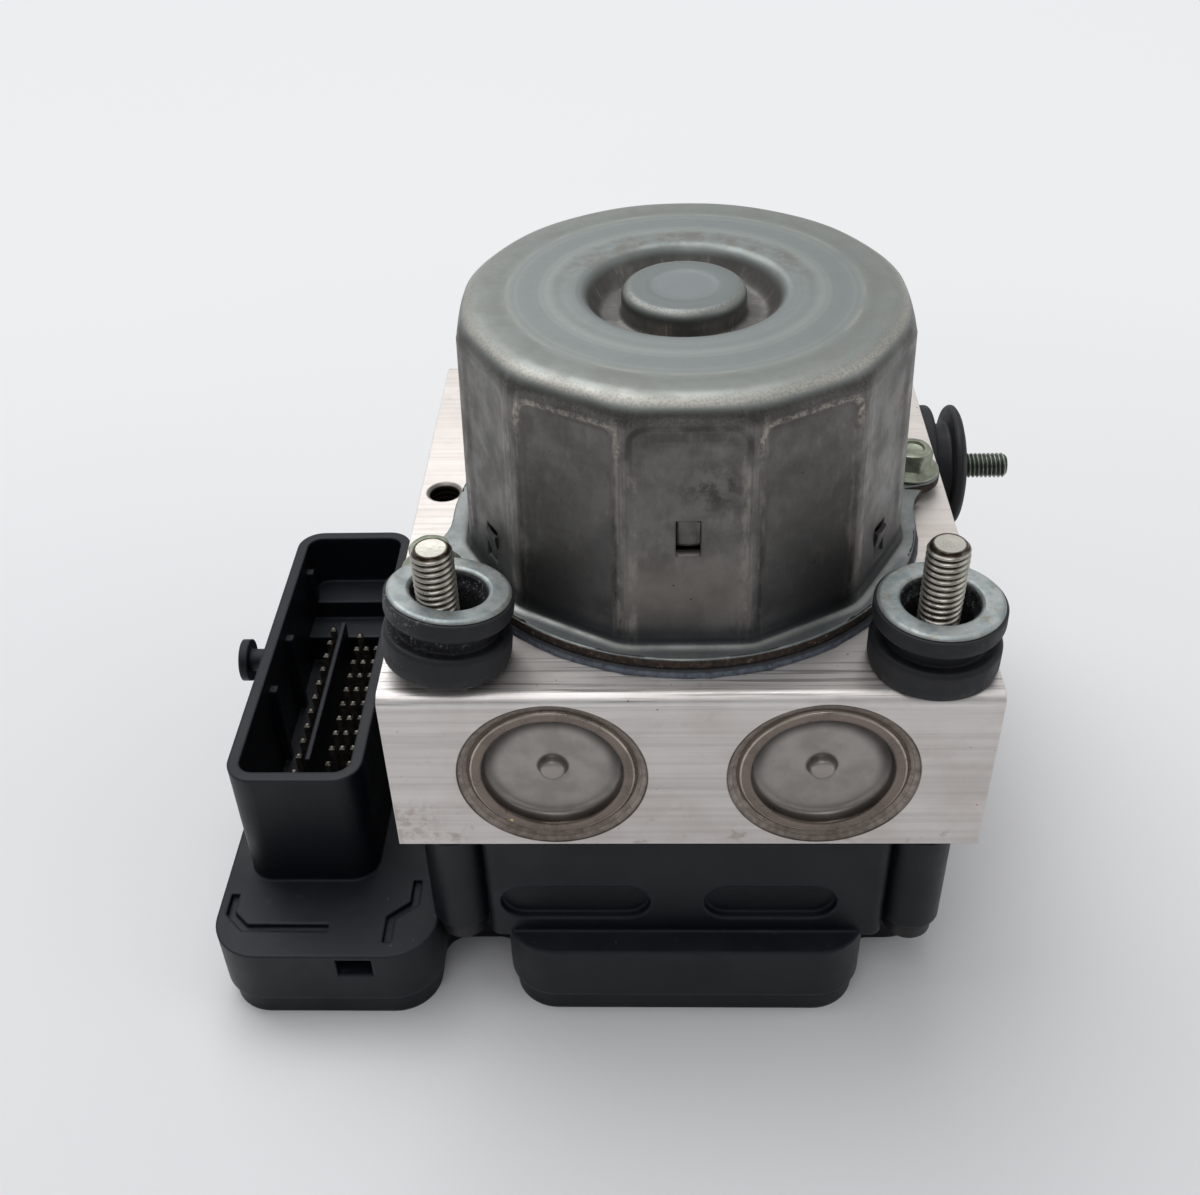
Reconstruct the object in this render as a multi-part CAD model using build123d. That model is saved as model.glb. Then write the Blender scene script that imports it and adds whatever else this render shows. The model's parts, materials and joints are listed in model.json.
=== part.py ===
"""ABS brake module: hydraulic block, pump motor, control unit and mounting grommets.

Millimetres. +Z is up, +X is right and +Y points to the back. The origin lies on the control
unit cover's flat underside, below the centre of the hydraulic block.
"""
from build123d import *
from math import acos, atan2, cos, hypot, radians, sin, tan
import os

# Clearances
overrun = 1.0          # how far a cutting body runs past the face it cuts
slip = 0.05            # radial clearance of a sliding fit
free = 0.3             # gap between pieces that move past each other

# Control unit heights
cover_height = 4.5
tray_height = 11.0
wall_height = 21.0
ecu_gasket_height = 0.5
ecu_wall = 2.2
roof_thickness = 2.0

# Hydraulic block
block_width = 88.0
block_depth = 96.0
block_height = 30.0
block_edge = 1.8

tray_base = cover_height
tray_top = tray_base + tray_height
wall_top = tray_top + wall_height
block_base = wall_top + ecu_gasket_height
block_top = block_base + block_height
block_right = block_width / 2
block_back = block_depth / 2
block_front = -block_back

# Threads: m6, m5 and the hydraulic ports, as outside radii and tapping radii
m6_radius = 3.0
m6_tap_radius = 2.5
m5_radius = 2.5
thread_depth = 12.0
hole_chamfer = 0.5
bracket_hole_inset = 4.0
bracket_hole_x = bracket_hole_inset - block_right
bracket_hole_y = 4.0

# Pump motor
motor_y = -6.4
gasket_radius = 37.7
gasket_bore = 30.0
gasket_height = 1.2
flange_radius = 37.0
flange_thickness = 1.8
can_apothem = 33.2
can_sides = 12
can_height = 39.0
can_wall = 1.6
can_corner = 2.0
can_edge = 3.6
can_foot = 1.7
ear_radius = 4.9
ear_bolt_x = 38.1
ear_bolt_y = 11.2
left_bolt_x = 38.6
left_bolt_y = 15.1
ear_fillet = 12.0
dimple_x = 34.9
dimple_y = -8.4
dimple_radius = 0.8
dimple_depth = 0.4
flange_base = block_top + gasket_height
flange_top = flange_base + flange_thickness
can_top = flange_top + can_height
side_angle = 360 / can_sides

# Dished top of the can and the bearing knob in its middle
dish_depth = 4.0
dish_floor_radius = 11.8
dish_rim_radius = 14.4
knob_radius = 9.1
knob_face_radius = 7.8
knob_rise = 0.3
knob_bevel = 1.5

# Panels, lances and windows pressed in the can's side
panel_recess = 0.3
panel_margin = 0.7
panel_top_drop = 3.3
panel_foot = 1.8
window_width = 3.5
window_height = 5.1
high_window_drop = 17.0
low_window_rise = 3.0
lance_width = 3.0
lance_thickness = 0.7
lance_height = 4.0

# Motor bolts
bolt_flange_radius = 4.7
bolt_flange_height = 1.3
bolt_hex_flats = 6.2
bolt_head_height = 4.3
bolt_hole_radius = 2.8
bolt_socket_radius = 1.8
bolt_socket_depth = 0.6

# Motor inside
end_plate_radius = can_apothem - can_wall - 4 * slip
end_plate_thickness = 2.0
end_plate_lip = 0.7
end_boss_radius = 12.0
end_boss_depth = 5.0
pilot_radius = 12.2
pilot_depth = 5.5
shaft_radius = 4.0
spindle_radius = 3.0
spindle_length = 11.5
bearing_radius = 7.5
bearing_width = 4.0
bearing_inner_land = 5.1
bearing_outer_land = 6.6
ball_radius = 1.2
ball_count = 8
ball_play = 0.03
commutator_radius = 9.0
commutator_height = 6.2
commutator_slit = 0.5
commutator_slit_depth = 1.0
card_thickness = 1.4
card_radius = end_plate_radius - end_plate_lip
card_bore = 10.5
brush_box_wall = 1.0
brush_width = 5.0
brush_height = 5.0
brush_length = 9.0
brush_spring_radius = 2.0
brush_spring_wire = 0.25
brush_spring_length = 7.0
brush_spring_turns = 7
magnet_thickness = 4.9
air_gap = 0.7
core_height = 17.0
core_slots = 12
core_slot_width = 3.4
core_slot_mouth = 1.6
core_slot_root = 12.0
core_slot_rim = 1.8
winding_height = 3.5
winding_inset = 2.5
magnet_height = 24.0
magnet_count = 6
magnet_span = 46.0
magnet_top_gap = 1.5
magnet_inner_radius = can_apothem - can_wall - magnet_thickness
core_radius = magnet_inner_radius - air_gap

# Eccentric drive of the pumps
eccentric_throw = 1.0
eccentric_radius = 5.0
eccentric_height = 10.0
needle_radius = 0.8
needle_count = 16
needle_play = 0.05
needle_height = 7.0
ring_radius = 8.2
ring_height = 8.0
chamber_radius = 10.5
chamber_depth = 23.0
pump_drop = 15.0
pump_z = block_top - pump_drop

# Pumps
pump_bore_radius = 5.0
pump_plug_radius = 6.5
pump_plug_length = 14.0
pump_sleeve_length = 18.5
pump_piston_radius = 3.0
pump_piston_length = 13.0
pump_recess_radius = 1.9
pump_recess_depth = 4.0
pump_spring_radius = 1.4
pump_spring_wire = 0.35
pump_spring_turns = 8
pump_socket_flats = 5.0
pump_socket_depth = 4.0

# Accumulators
accumulator_x = 19.8
accumulator_drop = 15.5
accumulator_z = block_top - accumulator_drop
accumulator_bore_radius = 11.0
accumulator_bore_depth = 28.0
stake_outer_radius = 14.0
stake_inner_radius = 12.6
stake_depth = 0.9
cap_depth = 3.5
cap_floor_depth = 2.25
cap_floor_radius = 9.3
cap_wall_radius = 10.5
cap_crest_radius = 11.3
cap_crest_depth = 0.45
cap_shoulder_radius = 12.0
cap_shoulder_depth = 0.8
cap_groove_radius = 12.2
cap_groove_depth = 1.3
cap_nub_radius = 1.66
cap_nub_base_radius = 2.0
cap_nub_depth = 0.95
piston_length = 9.0
piston_cup_radius = 8.6
piston_cup_depth = 4.0
piston_groove_radius = 9.2
piston_groove_width = 2.4
piston_groove_offset = 1.6
seal_radius = 0.85
accumulator_spring_radius = 7.4
accumulator_spring_wire = 0.7
accumulator_spring_turns = 5
accumulator_drill_radius = 1.5

# Solenoid valves and drilled passages
valve_side_inset = 11.5
valve_pitch = 21.0
outer_valve_x = block_right - valve_side_inset
inner_valve_x = outer_valve_x - valve_pitch
valve_columns_x = (-outer_valve_x, -inner_valve_x, inner_valve_x, outer_valve_x)
inlet_row_y = 27.0
valve_row_pitch = 18.0
outlet_row_y = inlet_row_y - valve_row_pitch
valve_bore_radius = 5.0
valve_bore_depth = 11.5
dome_radius = 3.2
dome_wall = 0.4
dome_length = 18.0
dome_end = 0.8
armature_length = 12.0
armature_lift = 0.25
armature_rest_gap = 0.05
coil_radius = 8.0
coil_bore_radius = 3.3
coil_height = 16.0
coil_flange_height = 1.5
coil_recess = 0.8
coil_pin = 0.9
passage_radius = 1.5
passage_rise = 7.5
passage_end_y = 8.0
passage_plug_length = 6.0
lead_bore_radius = 4.0
lead_bore_y = 18.0

# Hydraulic ports
wheel_port_side_inset = 11.0
wheel_port_pitch = 23.5
wheel_port_back_inset = 8.0
outer_port_x = block_right - wheel_port_side_inset
inner_port_x = outer_port_x - wheel_port_pitch
wheel_port_columns_x = (-outer_port_x, -inner_port_x, inner_port_x, outer_port_x)
wheel_port_y = block_back - wheel_port_back_inset
wheel_port_radius = 4.5
wheel_port_depth = 11.0
wheel_drill_radius = 1.3
master_port_rise = 12.0
master_port_x = (outer_port_x + inner_port_x) / 2
master_port_z = block_base + master_port_rise
master_port_radius = 5.5
master_port_depth = 13.0
port_drill_radius = 1.5
port_drill_depth = 6.0

# Studs, grommets and washers
stud_side_inset = 9.15
stud_front_inset = 7.9
stud_x = block_right - stud_side_inset
stud_y = block_front + stud_front_inset
stud_top_rise = 20.5
stud_chamfer = 0.7
stud_free_length = 5.5
stud_shank_relief = 0.5
grommet_flange_radius = 9.3
grommet_base_height = 5.0
grommet_groove_height = 2.56
grommet_groove_radius = 7.0
grommet_top_height = 3.0
grommet_bore_radius = 5.4
grommet_rounding = 0.5
washer_radius = 8.8
washer_thickness = 0.64
cocked_tilt = 6.6
cocked_base_x = 0.35
cocked_base_y = 0.1
cocked_lift = 1.55
side_stud_radius = 2.35
side_stud_back_inset = 14.5
side_stud_drop = 15.0
side_stud_y = block_back - side_stud_back_inset
side_stud_z = block_top - side_stud_drop
side_stud_reach = 18.4
side_stud_depth = 10.0
side_stud_free_length = 8.0
side_grommet_radius = 11.5
side_inner_height = 3.6
side_groove_height = 3.2
side_groove_radius = 8.0
side_outer_height = 2.65
side_dome = 0.9
side_bore_radius = 2.5

# Control unit plan
boss_side_inset = 7.5
boss_end_inset = 5.0
boss_radius = 4.8
boss_merge = 0.1
ledge_step = 2.7
ledge_overhang = 4.0
upper_setback = 0.5
notch_width = 11.4
body_width = 37.0
body_lead = 0.9
boss_x = block_right - boss_side_inset
boss_y = block_back - boss_end_inset
ecu_half_width = outer_valve_x + coil_radius + free + ecu_wall
ecu_half_depth = inlet_row_y + coil_radius + free + ecu_wall
upper_half_width = boss_x - boss_radius + boss_merge
upper_front = block_front + upper_setback
ledge_half_width = upper_half_width - ledge_step
ledge_front = block_front - ledge_overhang
ledge_back = block_back - upper_setback
body_right = -ledge_half_width - notch_width
body_left = body_right - body_width
body_front = ledge_front - body_lead
plan_outer_corner = 8.0
plan_inner_corner = 3.0
plan_back_corner = 5.5
upper_corner = 2.0
boss_drop = 1.0
boss_web = 5.0
screw_radius = 2.25
screw_head_radius = 3.9
screw_head_height = 3.6
screw_grip = 10.0
screw_socket_radius = 1.7
screw_socket_depth = 2.0
cover_inset = 0.8
cover_floor = 2.0
cover_rim = 2.0
vent_radius = 4.0
vent_thickness = 1.4
vent_lift = 0.6
vent_inset = 19.5
vent_x = body_left + vent_inset
vent_y = 10.0
pocket_rise = 3.2
pocket_height = 7.6
pocket_depth = 1.5
left_pocket_start = -29.5
left_pocket_end = -5.6
right_pocket_start = 3.0
right_pocket_end = 24.0
pocket_base = tray_top + pocket_rise
pocket_top = pocket_base + pocket_height
roof_groove_width = 1.4
roof_groove_depth = 1.0
front_hole_inset = 20.9
front_hole_width = 5.9
front_hole_height = 4.0
front_hole_lip = 0.9
front_hole_depth = 4.0
front_hole_start = body_left + front_hole_inset
front_hole_end = front_hole_start + front_hole_width
front_hole_top = tray_top - front_hole_lip
front_hole_base = front_hole_top - front_hole_height
front_hole_wall = 1.5

# Circuit board
board_base = 9.0
board_thickness = 1.6
board_side_gap = 1.0
board_front_gap = 1.8
board_back_gap = 0.8
board_left = body_left + ecu_wall + board_side_gap + free
board_right = ecu_half_width - ecu_wall - board_side_gap
board_front = board_front_gap + ecu_wall - ecu_half_depth
board_back = ecu_half_depth - ecu_wall - board_back_gap
board_corner = 3.0
post_radius = 2.0
rail_width = 1.8
rail_half_length = 20.0

# Connector
shroud_inset = 3.5
shroud_width = 22.1
shroud_setback = 15.9
shroud_length = 67.8
shroud_height = 24.0
shroud_left = body_left + shroud_inset
shroud_right = shroud_left + shroud_width
shroud_front = body_front + shroud_setback
shroud_back = shroud_front + shroud_length
shroud_wall = 1.9
shroud_corner = 4.6
shroud_floor = 3.5
pin_size = 1.0
pin_drop = 8.5
pin_tip = tray_top + shroud_height - pin_drop
pin_taper = 0.3
pin_pitch = 3.77
row_insets = (8.3, 13.7, 15.5, 17.4)
row_counts = (11, 10, 8, 9)
row_setbacks = (10.7, 12.6, 16.4, 12.7)
divider_inset = 10.0
divider_thickness = 0.8
divider_setback = 13.4
divider_length = 36.9
divider_rise = 12.0
step_depth = 12.9
step_tread = 6.0
row_columns_x = [shroud_left + inset for inset in row_insets]
row_front_y = [shroud_front + setback for setback in row_setbacks]
divider_x = shroud_left + divider_inset
divider_front = shroud_front + divider_setback
divider_back = divider_front + divider_length
step_front = shroud_back - shroud_wall - step_depth
step_middle = step_front + step_tread
low_step_rise = 6.0
high_step_rise = 10.0
key_rib_width = 1.6
key_rib_depth = 1.2
key_rib_setbacks = (25.0, 39.0, 59.0)
pivot_setback = 33.6
key_rib_places = [shroud_front + setback for setback in key_rib_setbacks]
pivot_y = shroud_front + pivot_setback
pivot_drop = 3.5
pivot_stem_radius = 2.0
pivot_stem_length = 3.0
pivot_disc_radius = 3.75
pivot_disc_thickness = 1.5

# Contact blades between the brush card and the circuit board
blade_width = 1.6
blade_thickness = 0.8
blade_offset = 1.7
stalk_radius = 3.6

TURNS = {
    "x": Rot(0, 90, 0),
    "-x": Rot(0, -90, 0),
    "y": Rot(-90, 0, 0),
    "-y": Rot(90, 0, 0),
    "z": Rot(0, 0, 0),
    "-z": Rot(180, 0, 0),
}


# Shared shapes

def rod(radius, length, at=(0, 0, 0), along="z"):
    """Cylinder that starts at a point and runs along an axis."""
    solid = Cylinder(radius, length, align=(Align.CENTER, Align.CENTER, Align.MIN))
    return Pos(*at) * TURNS[along] * solid


def tube(outer, inner, length, at=(0, 0, 0), along="z"):
    """Cylinder with a bore right through."""
    solid = Cylinder(outer, length, align=(Align.CENTER, Align.CENTER, Align.MIN))
    hole = Pos(0, 0, -overrun) * Cylinder(
        inner, length + 2 * overrun, align=(Align.CENTER, Align.CENTER, Align.MIN))
    return Pos(*at) * TURNS[along] * (solid - hole)


def box(x_limits, y_limits, z_limits):
    """Box between pairs of limits."""
    size = [high - low for low, high in (x_limits, y_limits, z_limits)]
    middle = [(high + low) / 2 for low, high in (x_limits, y_limits, z_limits)]
    return Pos(*middle) * Box(*size)


def turned(points, at=(0, 0, 0), along="z"):
    """Solid of revolution of a closed outline given as radius and height."""
    outline = make_face(Plane.XZ * Polyline(*points, close=True))
    return Pos(*at) * TURNS[along] * revolve(outline, Axis.Z)


def plate(points, base, height, radii=None, default=0.0):
    """Prism on a plan outline whose corners are rounded one by one."""
    face = make_face(Polyline(*points, close=True))
    for index, point in enumerate(points):
        radius = (radii or {}).get(index, default)
        if radius > 0:
            corner = face.vertices().sort_by_distance((point[0], point[1], 0))[0]
            face = fillet(corner, radius)
    return Pos(0, 0, base) * extrude(face, height)


def coil_spring(radius, wire, length, turns, at=(0, 0, 0), along="z"):
    """Round-wire compression spring with its end coils inside the stated length."""
    height = length - 2 * wire
    path = Helix(pitch=height / turns, height=height, radius=radius)
    section = Plane(origin=path @ 0, z_dir=path % 0) * Circle(wire)
    return Pos(*at) * TURNS[along] * Pos(0, 0, wire) * sweep(section, path)


def ring_places(count, radius, start=0.0):
    """Points spread evenly on a circle."""
    return [(radius * cos(radians(start + 360 * step / count)),
             radius * sin(radians(start + 360 * step / count))) for step in range(count)]


# Hydraulic block

def ear_bolts():
    """Places of the two motor bolts, on opposite sides of the motor axis."""
    return [(ear_bolt_x, motor_y + ear_bolt_y), (-left_bolt_x, motor_y - left_bolt_y)]


def threaded_bore(radius, depth, at, along):
    """Cutter for a tapped hole with a small chamfer at its mouth."""
    mouth = Cone(radius, radius + hole_chamfer, hole_chamfer,
                 align=(Align.CENTER, Align.CENTER, Align.MAX))
    past = Cylinder(radius + hole_chamfer, overrun, align=(Align.CENTER, Align.CENTER, Align.MIN))
    core = Cylinder(radius, depth, align=(Align.CENTER, Align.CENTER, Align.MAX))
    return Pos(*at) * TURNS[along] * (mouth + past + core)


def drive_cutters():
    """Motor pilot, eccentric chamber and the bores of both pumps."""
    chamber = rod(chamber_radius, chamber_depth + overrun, (0, motor_y, block_top - chamber_depth))
    pilot = rod(pilot_radius, pilot_depth + overrun, (0, motor_y, block_top - pilot_depth))
    cutters = [chamber, pilot]
    for side, along in ((1, "x"), (-1, "-x")):
        cutters.append(rod(pump_bore_radius, block_right, (0, motor_y, pump_z), along))
        plug_start = (side * (block_right - pump_plug_length), motor_y, pump_z)
        cutters.append(rod(pump_plug_radius, pump_plug_length + overrun, plug_start, along))
    return cutters


def accumulator_cutters():
    """Stepped bores in the front face with the coned edge that holds each cap."""
    cutters = []
    for side in (-1, 1):
        mouth = (side * accumulator_x, block_front, accumulator_z)
        outline = [(0, -overrun), (stake_outer_radius, -overrun), (stake_outer_radius, 0),
                   (stake_inner_radius, stake_depth), (stake_inner_radius, cap_depth),
                   (accumulator_bore_radius, cap_depth),
                   (accumulator_bore_radius, accumulator_bore_depth), (0, accumulator_bore_depth)]
        cutters.append(turned(outline, mouth, "y"))
        drill_start = (side * accumulator_x, block_front + accumulator_bore_depth - overrun,
                       accumulator_z)
        reach = motor_y - block_front - accumulator_bore_depth + overrun
        cutters.append(rod(accumulator_drill_radius, reach, drill_start, "y"))
    return cutters


def valve_cutters():
    """Stepped valve bores from below and the passages that join them to the ports."""
    cutters = []
    for x, port_x in zip(valve_columns_x, wheel_port_columns_x):
        for y in (outlet_row_y, inlet_row_y):
            cutters.append(rod(valve_bore_radius, valve_bore_depth + overrun,
                               (x, y, block_base - overrun)))
        passage_z = block_base + passage_rise
        length = block_back - passage_end_y + overrun
        cutters.append(rod(passage_radius, length, (x, passage_end_y, passage_z), "y"))
        port_floor = block_top - wheel_port_depth
        cutters.append(rod(wheel_drill_radius, port_floor - passage_z + overrun,
                           (port_x, wheel_port_y, passage_z)))
    return cutters


def hydraulic_block():
    """Extruded aluminium block with every bore that is drilled in it."""
    body = box((-block_right, block_right), (block_front, block_back), (block_base, block_top))
    edges = body.edges().filter_by(Axis.X).group_by(Axis.Z)[-1]
    body = fillet(edges, block_edge)
    cutters = drive_cutters() + accumulator_cutters() + valve_cutters()
    cutters.append(rod(lead_bore_radius, block_height + 2 * overrun,
                       (0, lead_bore_y, block_base - overrun)))
    cutters.append(threaded_bore(m6_tap_radius, thread_depth,
                                 (bracket_hole_x, bracket_hole_y, block_top), "z"))
    for x, y in ear_bolts():
        cutters.append(threaded_bore(m5_radius, thread_depth, (x, y, block_top), "z"))
    for side in (-1, 1):
        cutters.append(threaded_bore(m6_radius, thread_depth, (side * stud_x, stud_y, block_top), "z"))
        cutters.append(threaded_bore(master_port_radius, master_port_depth,
                                     (side * master_port_x, block_back, master_port_z), "y"))
        cutters.append(rod(port_drill_radius, port_drill_depth,
                           (side * master_port_x, block_back - master_port_depth + overrun,
                            master_port_z), "-y"))
        for y in (-boss_y, boss_y):
            cutters.append(threaded_bore(screw_radius, screw_grip, (side * boss_x, y, block_base), "-z"))
    for x in wheel_port_columns_x:
        cutters.append(threaded_bore(wheel_port_radius, wheel_port_depth,
                                     (x, wheel_port_y, block_top), "z"))
    cutters.append(threaded_bore(side_stud_radius, side_stud_depth,
                                 (block_right, side_stud_y, side_stud_z), "x"))
    for cutter in cutters:
        body = body - cutter
    return body


def passage_plugs():
    """Pressed plugs that close the drilled passages at the back face."""
    passage_z = block_base + passage_rise
    start = block_back - passage_plug_length
    return [rod(passage_radius, passage_plug_length, (x, start, passage_z), "y")
            for x in valve_columns_x]


# Accumulators

def accumulator_cap(side):
    """Dished cap with a raised rim and a small nub, held by the block's coned edge."""
    outline = [
        (0, cap_nub_depth),
        (cap_nub_radius, cap_nub_depth),
        (cap_nub_base_radius, cap_floor_depth),
        (cap_floor_radius, cap_floor_depth),
        (cap_wall_radius, cap_shoulder_depth),
        (cap_crest_radius, cap_crest_depth),
        (cap_shoulder_radius, cap_shoulder_depth),
        (cap_groove_radius, cap_groove_depth),
        (stake_inner_radius, stake_depth),
        (stake_inner_radius, cap_depth),
        (0, cap_depth),
    ]
    cap = turned(outline)
    edges = cap.edges().filter_by(GeomType.CIRCLE)
    soft = [edge for edge in edges
            if abs(edge.radius - cap_floor_radius) < slip or abs(edge.radius - cap_crest_radius) < slip]
    cap = fillet(soft, cap_shoulder_depth - cap_crest_depth)
    return Pos(side * accumulator_x, block_front, accumulator_z) * TURNS["y"] * cap


def accumulator_piston(side):
    """Cup-shaped piston with a groove for its seal, resting at the bore's end."""
    radius = accumulator_bore_radius - slip
    body = rod(radius, piston_length)
    cup = rod(piston_cup_radius, piston_cup_depth + overrun, (0, 0, piston_length - piston_cup_depth))
    groove = tube(radius + overrun, piston_groove_radius, piston_groove_width,
                  (0, 0, piston_groove_offset))
    body = body - cup - groove
    end = (side * accumulator_x, block_front + accumulator_bore_depth - free, accumulator_z)
    return Pos(*end) * TURNS["-y"] * body


def accumulator_seal(side):
    """Ring seal in the piston's groove."""
    ring = Torus(accumulator_bore_radius - slip - seal_radius, seal_radius)
    lift = free + piston_groove_offset + piston_groove_width / 2
    place = (side * accumulator_x, block_front + accumulator_bore_depth - lift, accumulator_z)
    return Pos(*place) * TURNS["-y"] * ring


def accumulator_spring(side):
    """Spring between the cap and the floor of the piston's cup."""
    floor = accumulator_bore_depth - free - piston_length + piston_cup_depth
    start = (side * accumulator_x, block_front + cap_depth, accumulator_z)
    return coil_spring(accumulator_spring_radius, accumulator_spring_wire, floor - cap_depth,
                       accumulator_spring_turns, start, "y")


# Pumps

pump_piston_rest = ring_radius + eccentric_throw + 2 * slip


def pump_piston(side):
    """Plunger that the eccentric ring pushes outward, hollow at its spring end."""
    body = rod(pump_piston_radius - slip, pump_piston_length)
    start = pump_piston_length - pump_recess_depth
    body = body - rod(pump_recess_radius, pump_recess_depth + overrun, (0, 0, start))
    along = "x" if side > 0 else "-x"
    return Pos(side * pump_piston_rest, motor_y, pump_z) * TURNS[along] * body


def pump_spring(side):
    """Return spring between the plunger's recess and the plug."""
    start = pump_piston_rest + pump_piston_length - pump_recess_depth
    length = block_right - pump_plug_length - start
    along = "x" if side > 0 else "-x"
    return coil_spring(pump_spring_radius, pump_spring_wire, length, pump_spring_turns,
                       (side * start, motor_y, pump_z), along)


def pump_sleeves():
    """Pressed sleeves that guide the plungers."""
    start = block_right - pump_plug_length - pump_sleeve_length
    return [tube(pump_bore_radius, pump_piston_radius, pump_sleeve_length,
                 (side * start, motor_y, pump_z), along)
            for side, along in ((1, "x"), (-1, "-x"))]


def pump_plugs():
    """Screw plugs with hexagon sockets that close the pump bores."""
    plugs = []
    for side, along in ((1, "x"), (-1, "-x")):
        plug = rod(pump_plug_radius, pump_plug_length)
        socket = extrude(RegularPolygon(pump_socket_flats / 2, 6, major_radius=False),
                         pump_socket_depth + overrun)
        plug = plug - Pos(0, 0, pump_plug_length - pump_socket_depth) * socket
        start = side * (block_right - pump_plug_length)
        plugs.append(Pos(start, motor_y, pump_z) * TURNS[along] * plug)
    return plugs


# Motor can

def can_prism(apothem, base, height, corner):
    """Twelve-sided prism on the motor axis, with a flat side to the front."""
    face = RegularPolygon(apothem, can_sides, major_radius=False)
    face = fillet(face.vertices(), corner)
    return Pos(0, motor_y, base) * Rot(0, 0, side_angle / 2) * extrude(face, height)


def dish_outline():
    """Outline of the annular hollow pressed in the can's top."""
    floor = -dish_depth
    bevel_base = knob_rise - knob_bevel
    return [
        (knob_face_radius, knob_rise + overrun),
        (knob_face_radius, knob_rise),
        (knob_radius, bevel_base),
        (knob_radius, floor),
        (dish_floor_radius, floor),
        (dish_rim_radius, 0),
        (dish_rim_radius + overrun, overrun),
    ]


def can_windows():
    """Cutters for the lanced windows: high ones front and back, low ones at sixty degrees."""
    high_base = can_top - high_window_drop - window_height
    low_base = flange_top + low_window_rise
    places = [(0, high_base), (180, high_base)]
    places += [(turn, low_base) for turn in (-2 * side_angle, 2 * side_angle,
                                              4 * side_angle, -4 * side_angle)]
    return places


def ear_outline(x, y):
    """Ear of the motor's flange around a bolt, with hollow fillets where it leaves the round flange."""
    along = y - motor_y
    reach = hypot(x, along)
    fillet_reach = flange_radius + ear_fillet
    ear_reach = ear_radius + ear_fillet
    swing = acos((reach ** 2 + fillet_reach ** 2 - ear_reach ** 2) / (2 * reach * fillet_reach))
    turns = [atan2(along, x) - swing, atan2(along, x) + swing]
    centres = [(fillet_reach * cos(turn), fillet_reach * sin(turn)) for turn in turns]
    neck = make_face(Polyline((0, 0), centres[0], (x, along), centres[1], close=True).edges())
    for place in centres:
        neck -= Pos(*place) * Circle(ear_fillet)
    return Pos(0, motor_y) * (neck + Pos(x, along) * Circle(ear_radius))


def motor_can():
    """Deep-drawn steel can with flange and ears, dished top, panels and lanced windows."""
    outer = can_prism(can_apothem, flange_base, can_top - flange_base, can_corner)
    outer = fillet(outer.faces().sort_by(Axis.Z)[-1].edges(), can_edge)
    ears = ear_bolts()
    outline = Pos(0, motor_y) * Circle(flange_radius)
    for x, y in ears:
        outline += ear_outline(x, y)
    flange = Pos(0, 0, flange_base) * extrude(outline, flange_thickness)
    foot = Pos(0, motor_y, flange_top) * Rot(0, 0, side_angle / 2) * loft([
        RegularPolygon(can_apothem + can_foot, can_sides, major_radius=False),
        Pos(0, 0, can_foot) * RegularPolygon(can_apothem, can_sides, major_radius=False)])
    body = outer + flange + foot

    knob = rod(knob_radius, dish_depth + knob_rise, (0, motor_y, can_top - dish_depth))
    body = body + knob
    body = body - turned(dish_outline(), (0, motor_y, can_top))

    inner_apothem = can_apothem - can_wall
    ceiling = can_top - can_wall
    dish_ceiling = can_top - dish_depth - can_wall
    cavity = can_prism(inner_apothem, flange_base - overrun, ceiling - flange_base + overrun, can_corner)
    crown = rod(dish_rim_radius + can_wall, ceiling - dish_ceiling + overrun, (0, motor_y, dish_ceiling))
    pocket = rod(bearing_radius, ceiling + knob_rise - dish_ceiling + overrun,
                 (0, motor_y, dish_ceiling - overrun))
    body = body - (cavity - crown)
    body = body - pocket

    half_side = can_apothem * tan(radians(side_angle / 2))
    panel_base = flange_top + panel_foot
    panel_top = can_top - panel_top_drop
    panel = box((-half_side + panel_margin, half_side - panel_margin),
                (-can_apothem - overrun, -can_apothem + panel_recess), (panel_base, panel_top))
    for turn in (-side_angle, side_angle, 180 - side_angle, 180 + side_angle):
        body = body - Pos(0, motor_y, 0) * Rot(0, 0, turn) * panel

    window = box((-window_width / 2, window_width / 2),
                 (-can_apothem - overrun, -inner_apothem + overrun), (0, window_height))
    lance = box((-lance_width / 2, lance_width / 2),
                (-inner_apothem, -inner_apothem + lance_thickness),
                (window_height - lance_height, window_height + lance_thickness))
    for turn, base in can_windows():
        frame = Pos(0, motor_y, base) * Rot(0, 0, turn)
        body = body - frame * window
        body = body + frame * lance
    for x, y in ears:
        body = body - rod(bolt_hole_radius, flange_thickness + 2 * overrun, (x, y, flange_base - overrun))
        body = body - rod(bolt_flange_radius + 2 * slip, bolt_head_height + overrun, (x, y, flange_top))
    for side in (-1, 1):
        place = (side * dimple_x, motor_y + side * dimple_y, flange_top - dimple_depth)
        body = body - rod(dimple_radius, dimple_depth + overrun, place)
    return body


def motor_gasket():
    """Bead of sealant between the motor's flange and the block, notched around the bolts."""
    bead = tube(gasket_radius, gasket_bore, gasket_height, (0, motor_y, block_top))
    for x, y in ear_bolts():
        bead = bead - rod(bolt_hole_radius, gasket_height + 2 * overrun, (x, y, block_top - overrun))
    return bead


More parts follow.
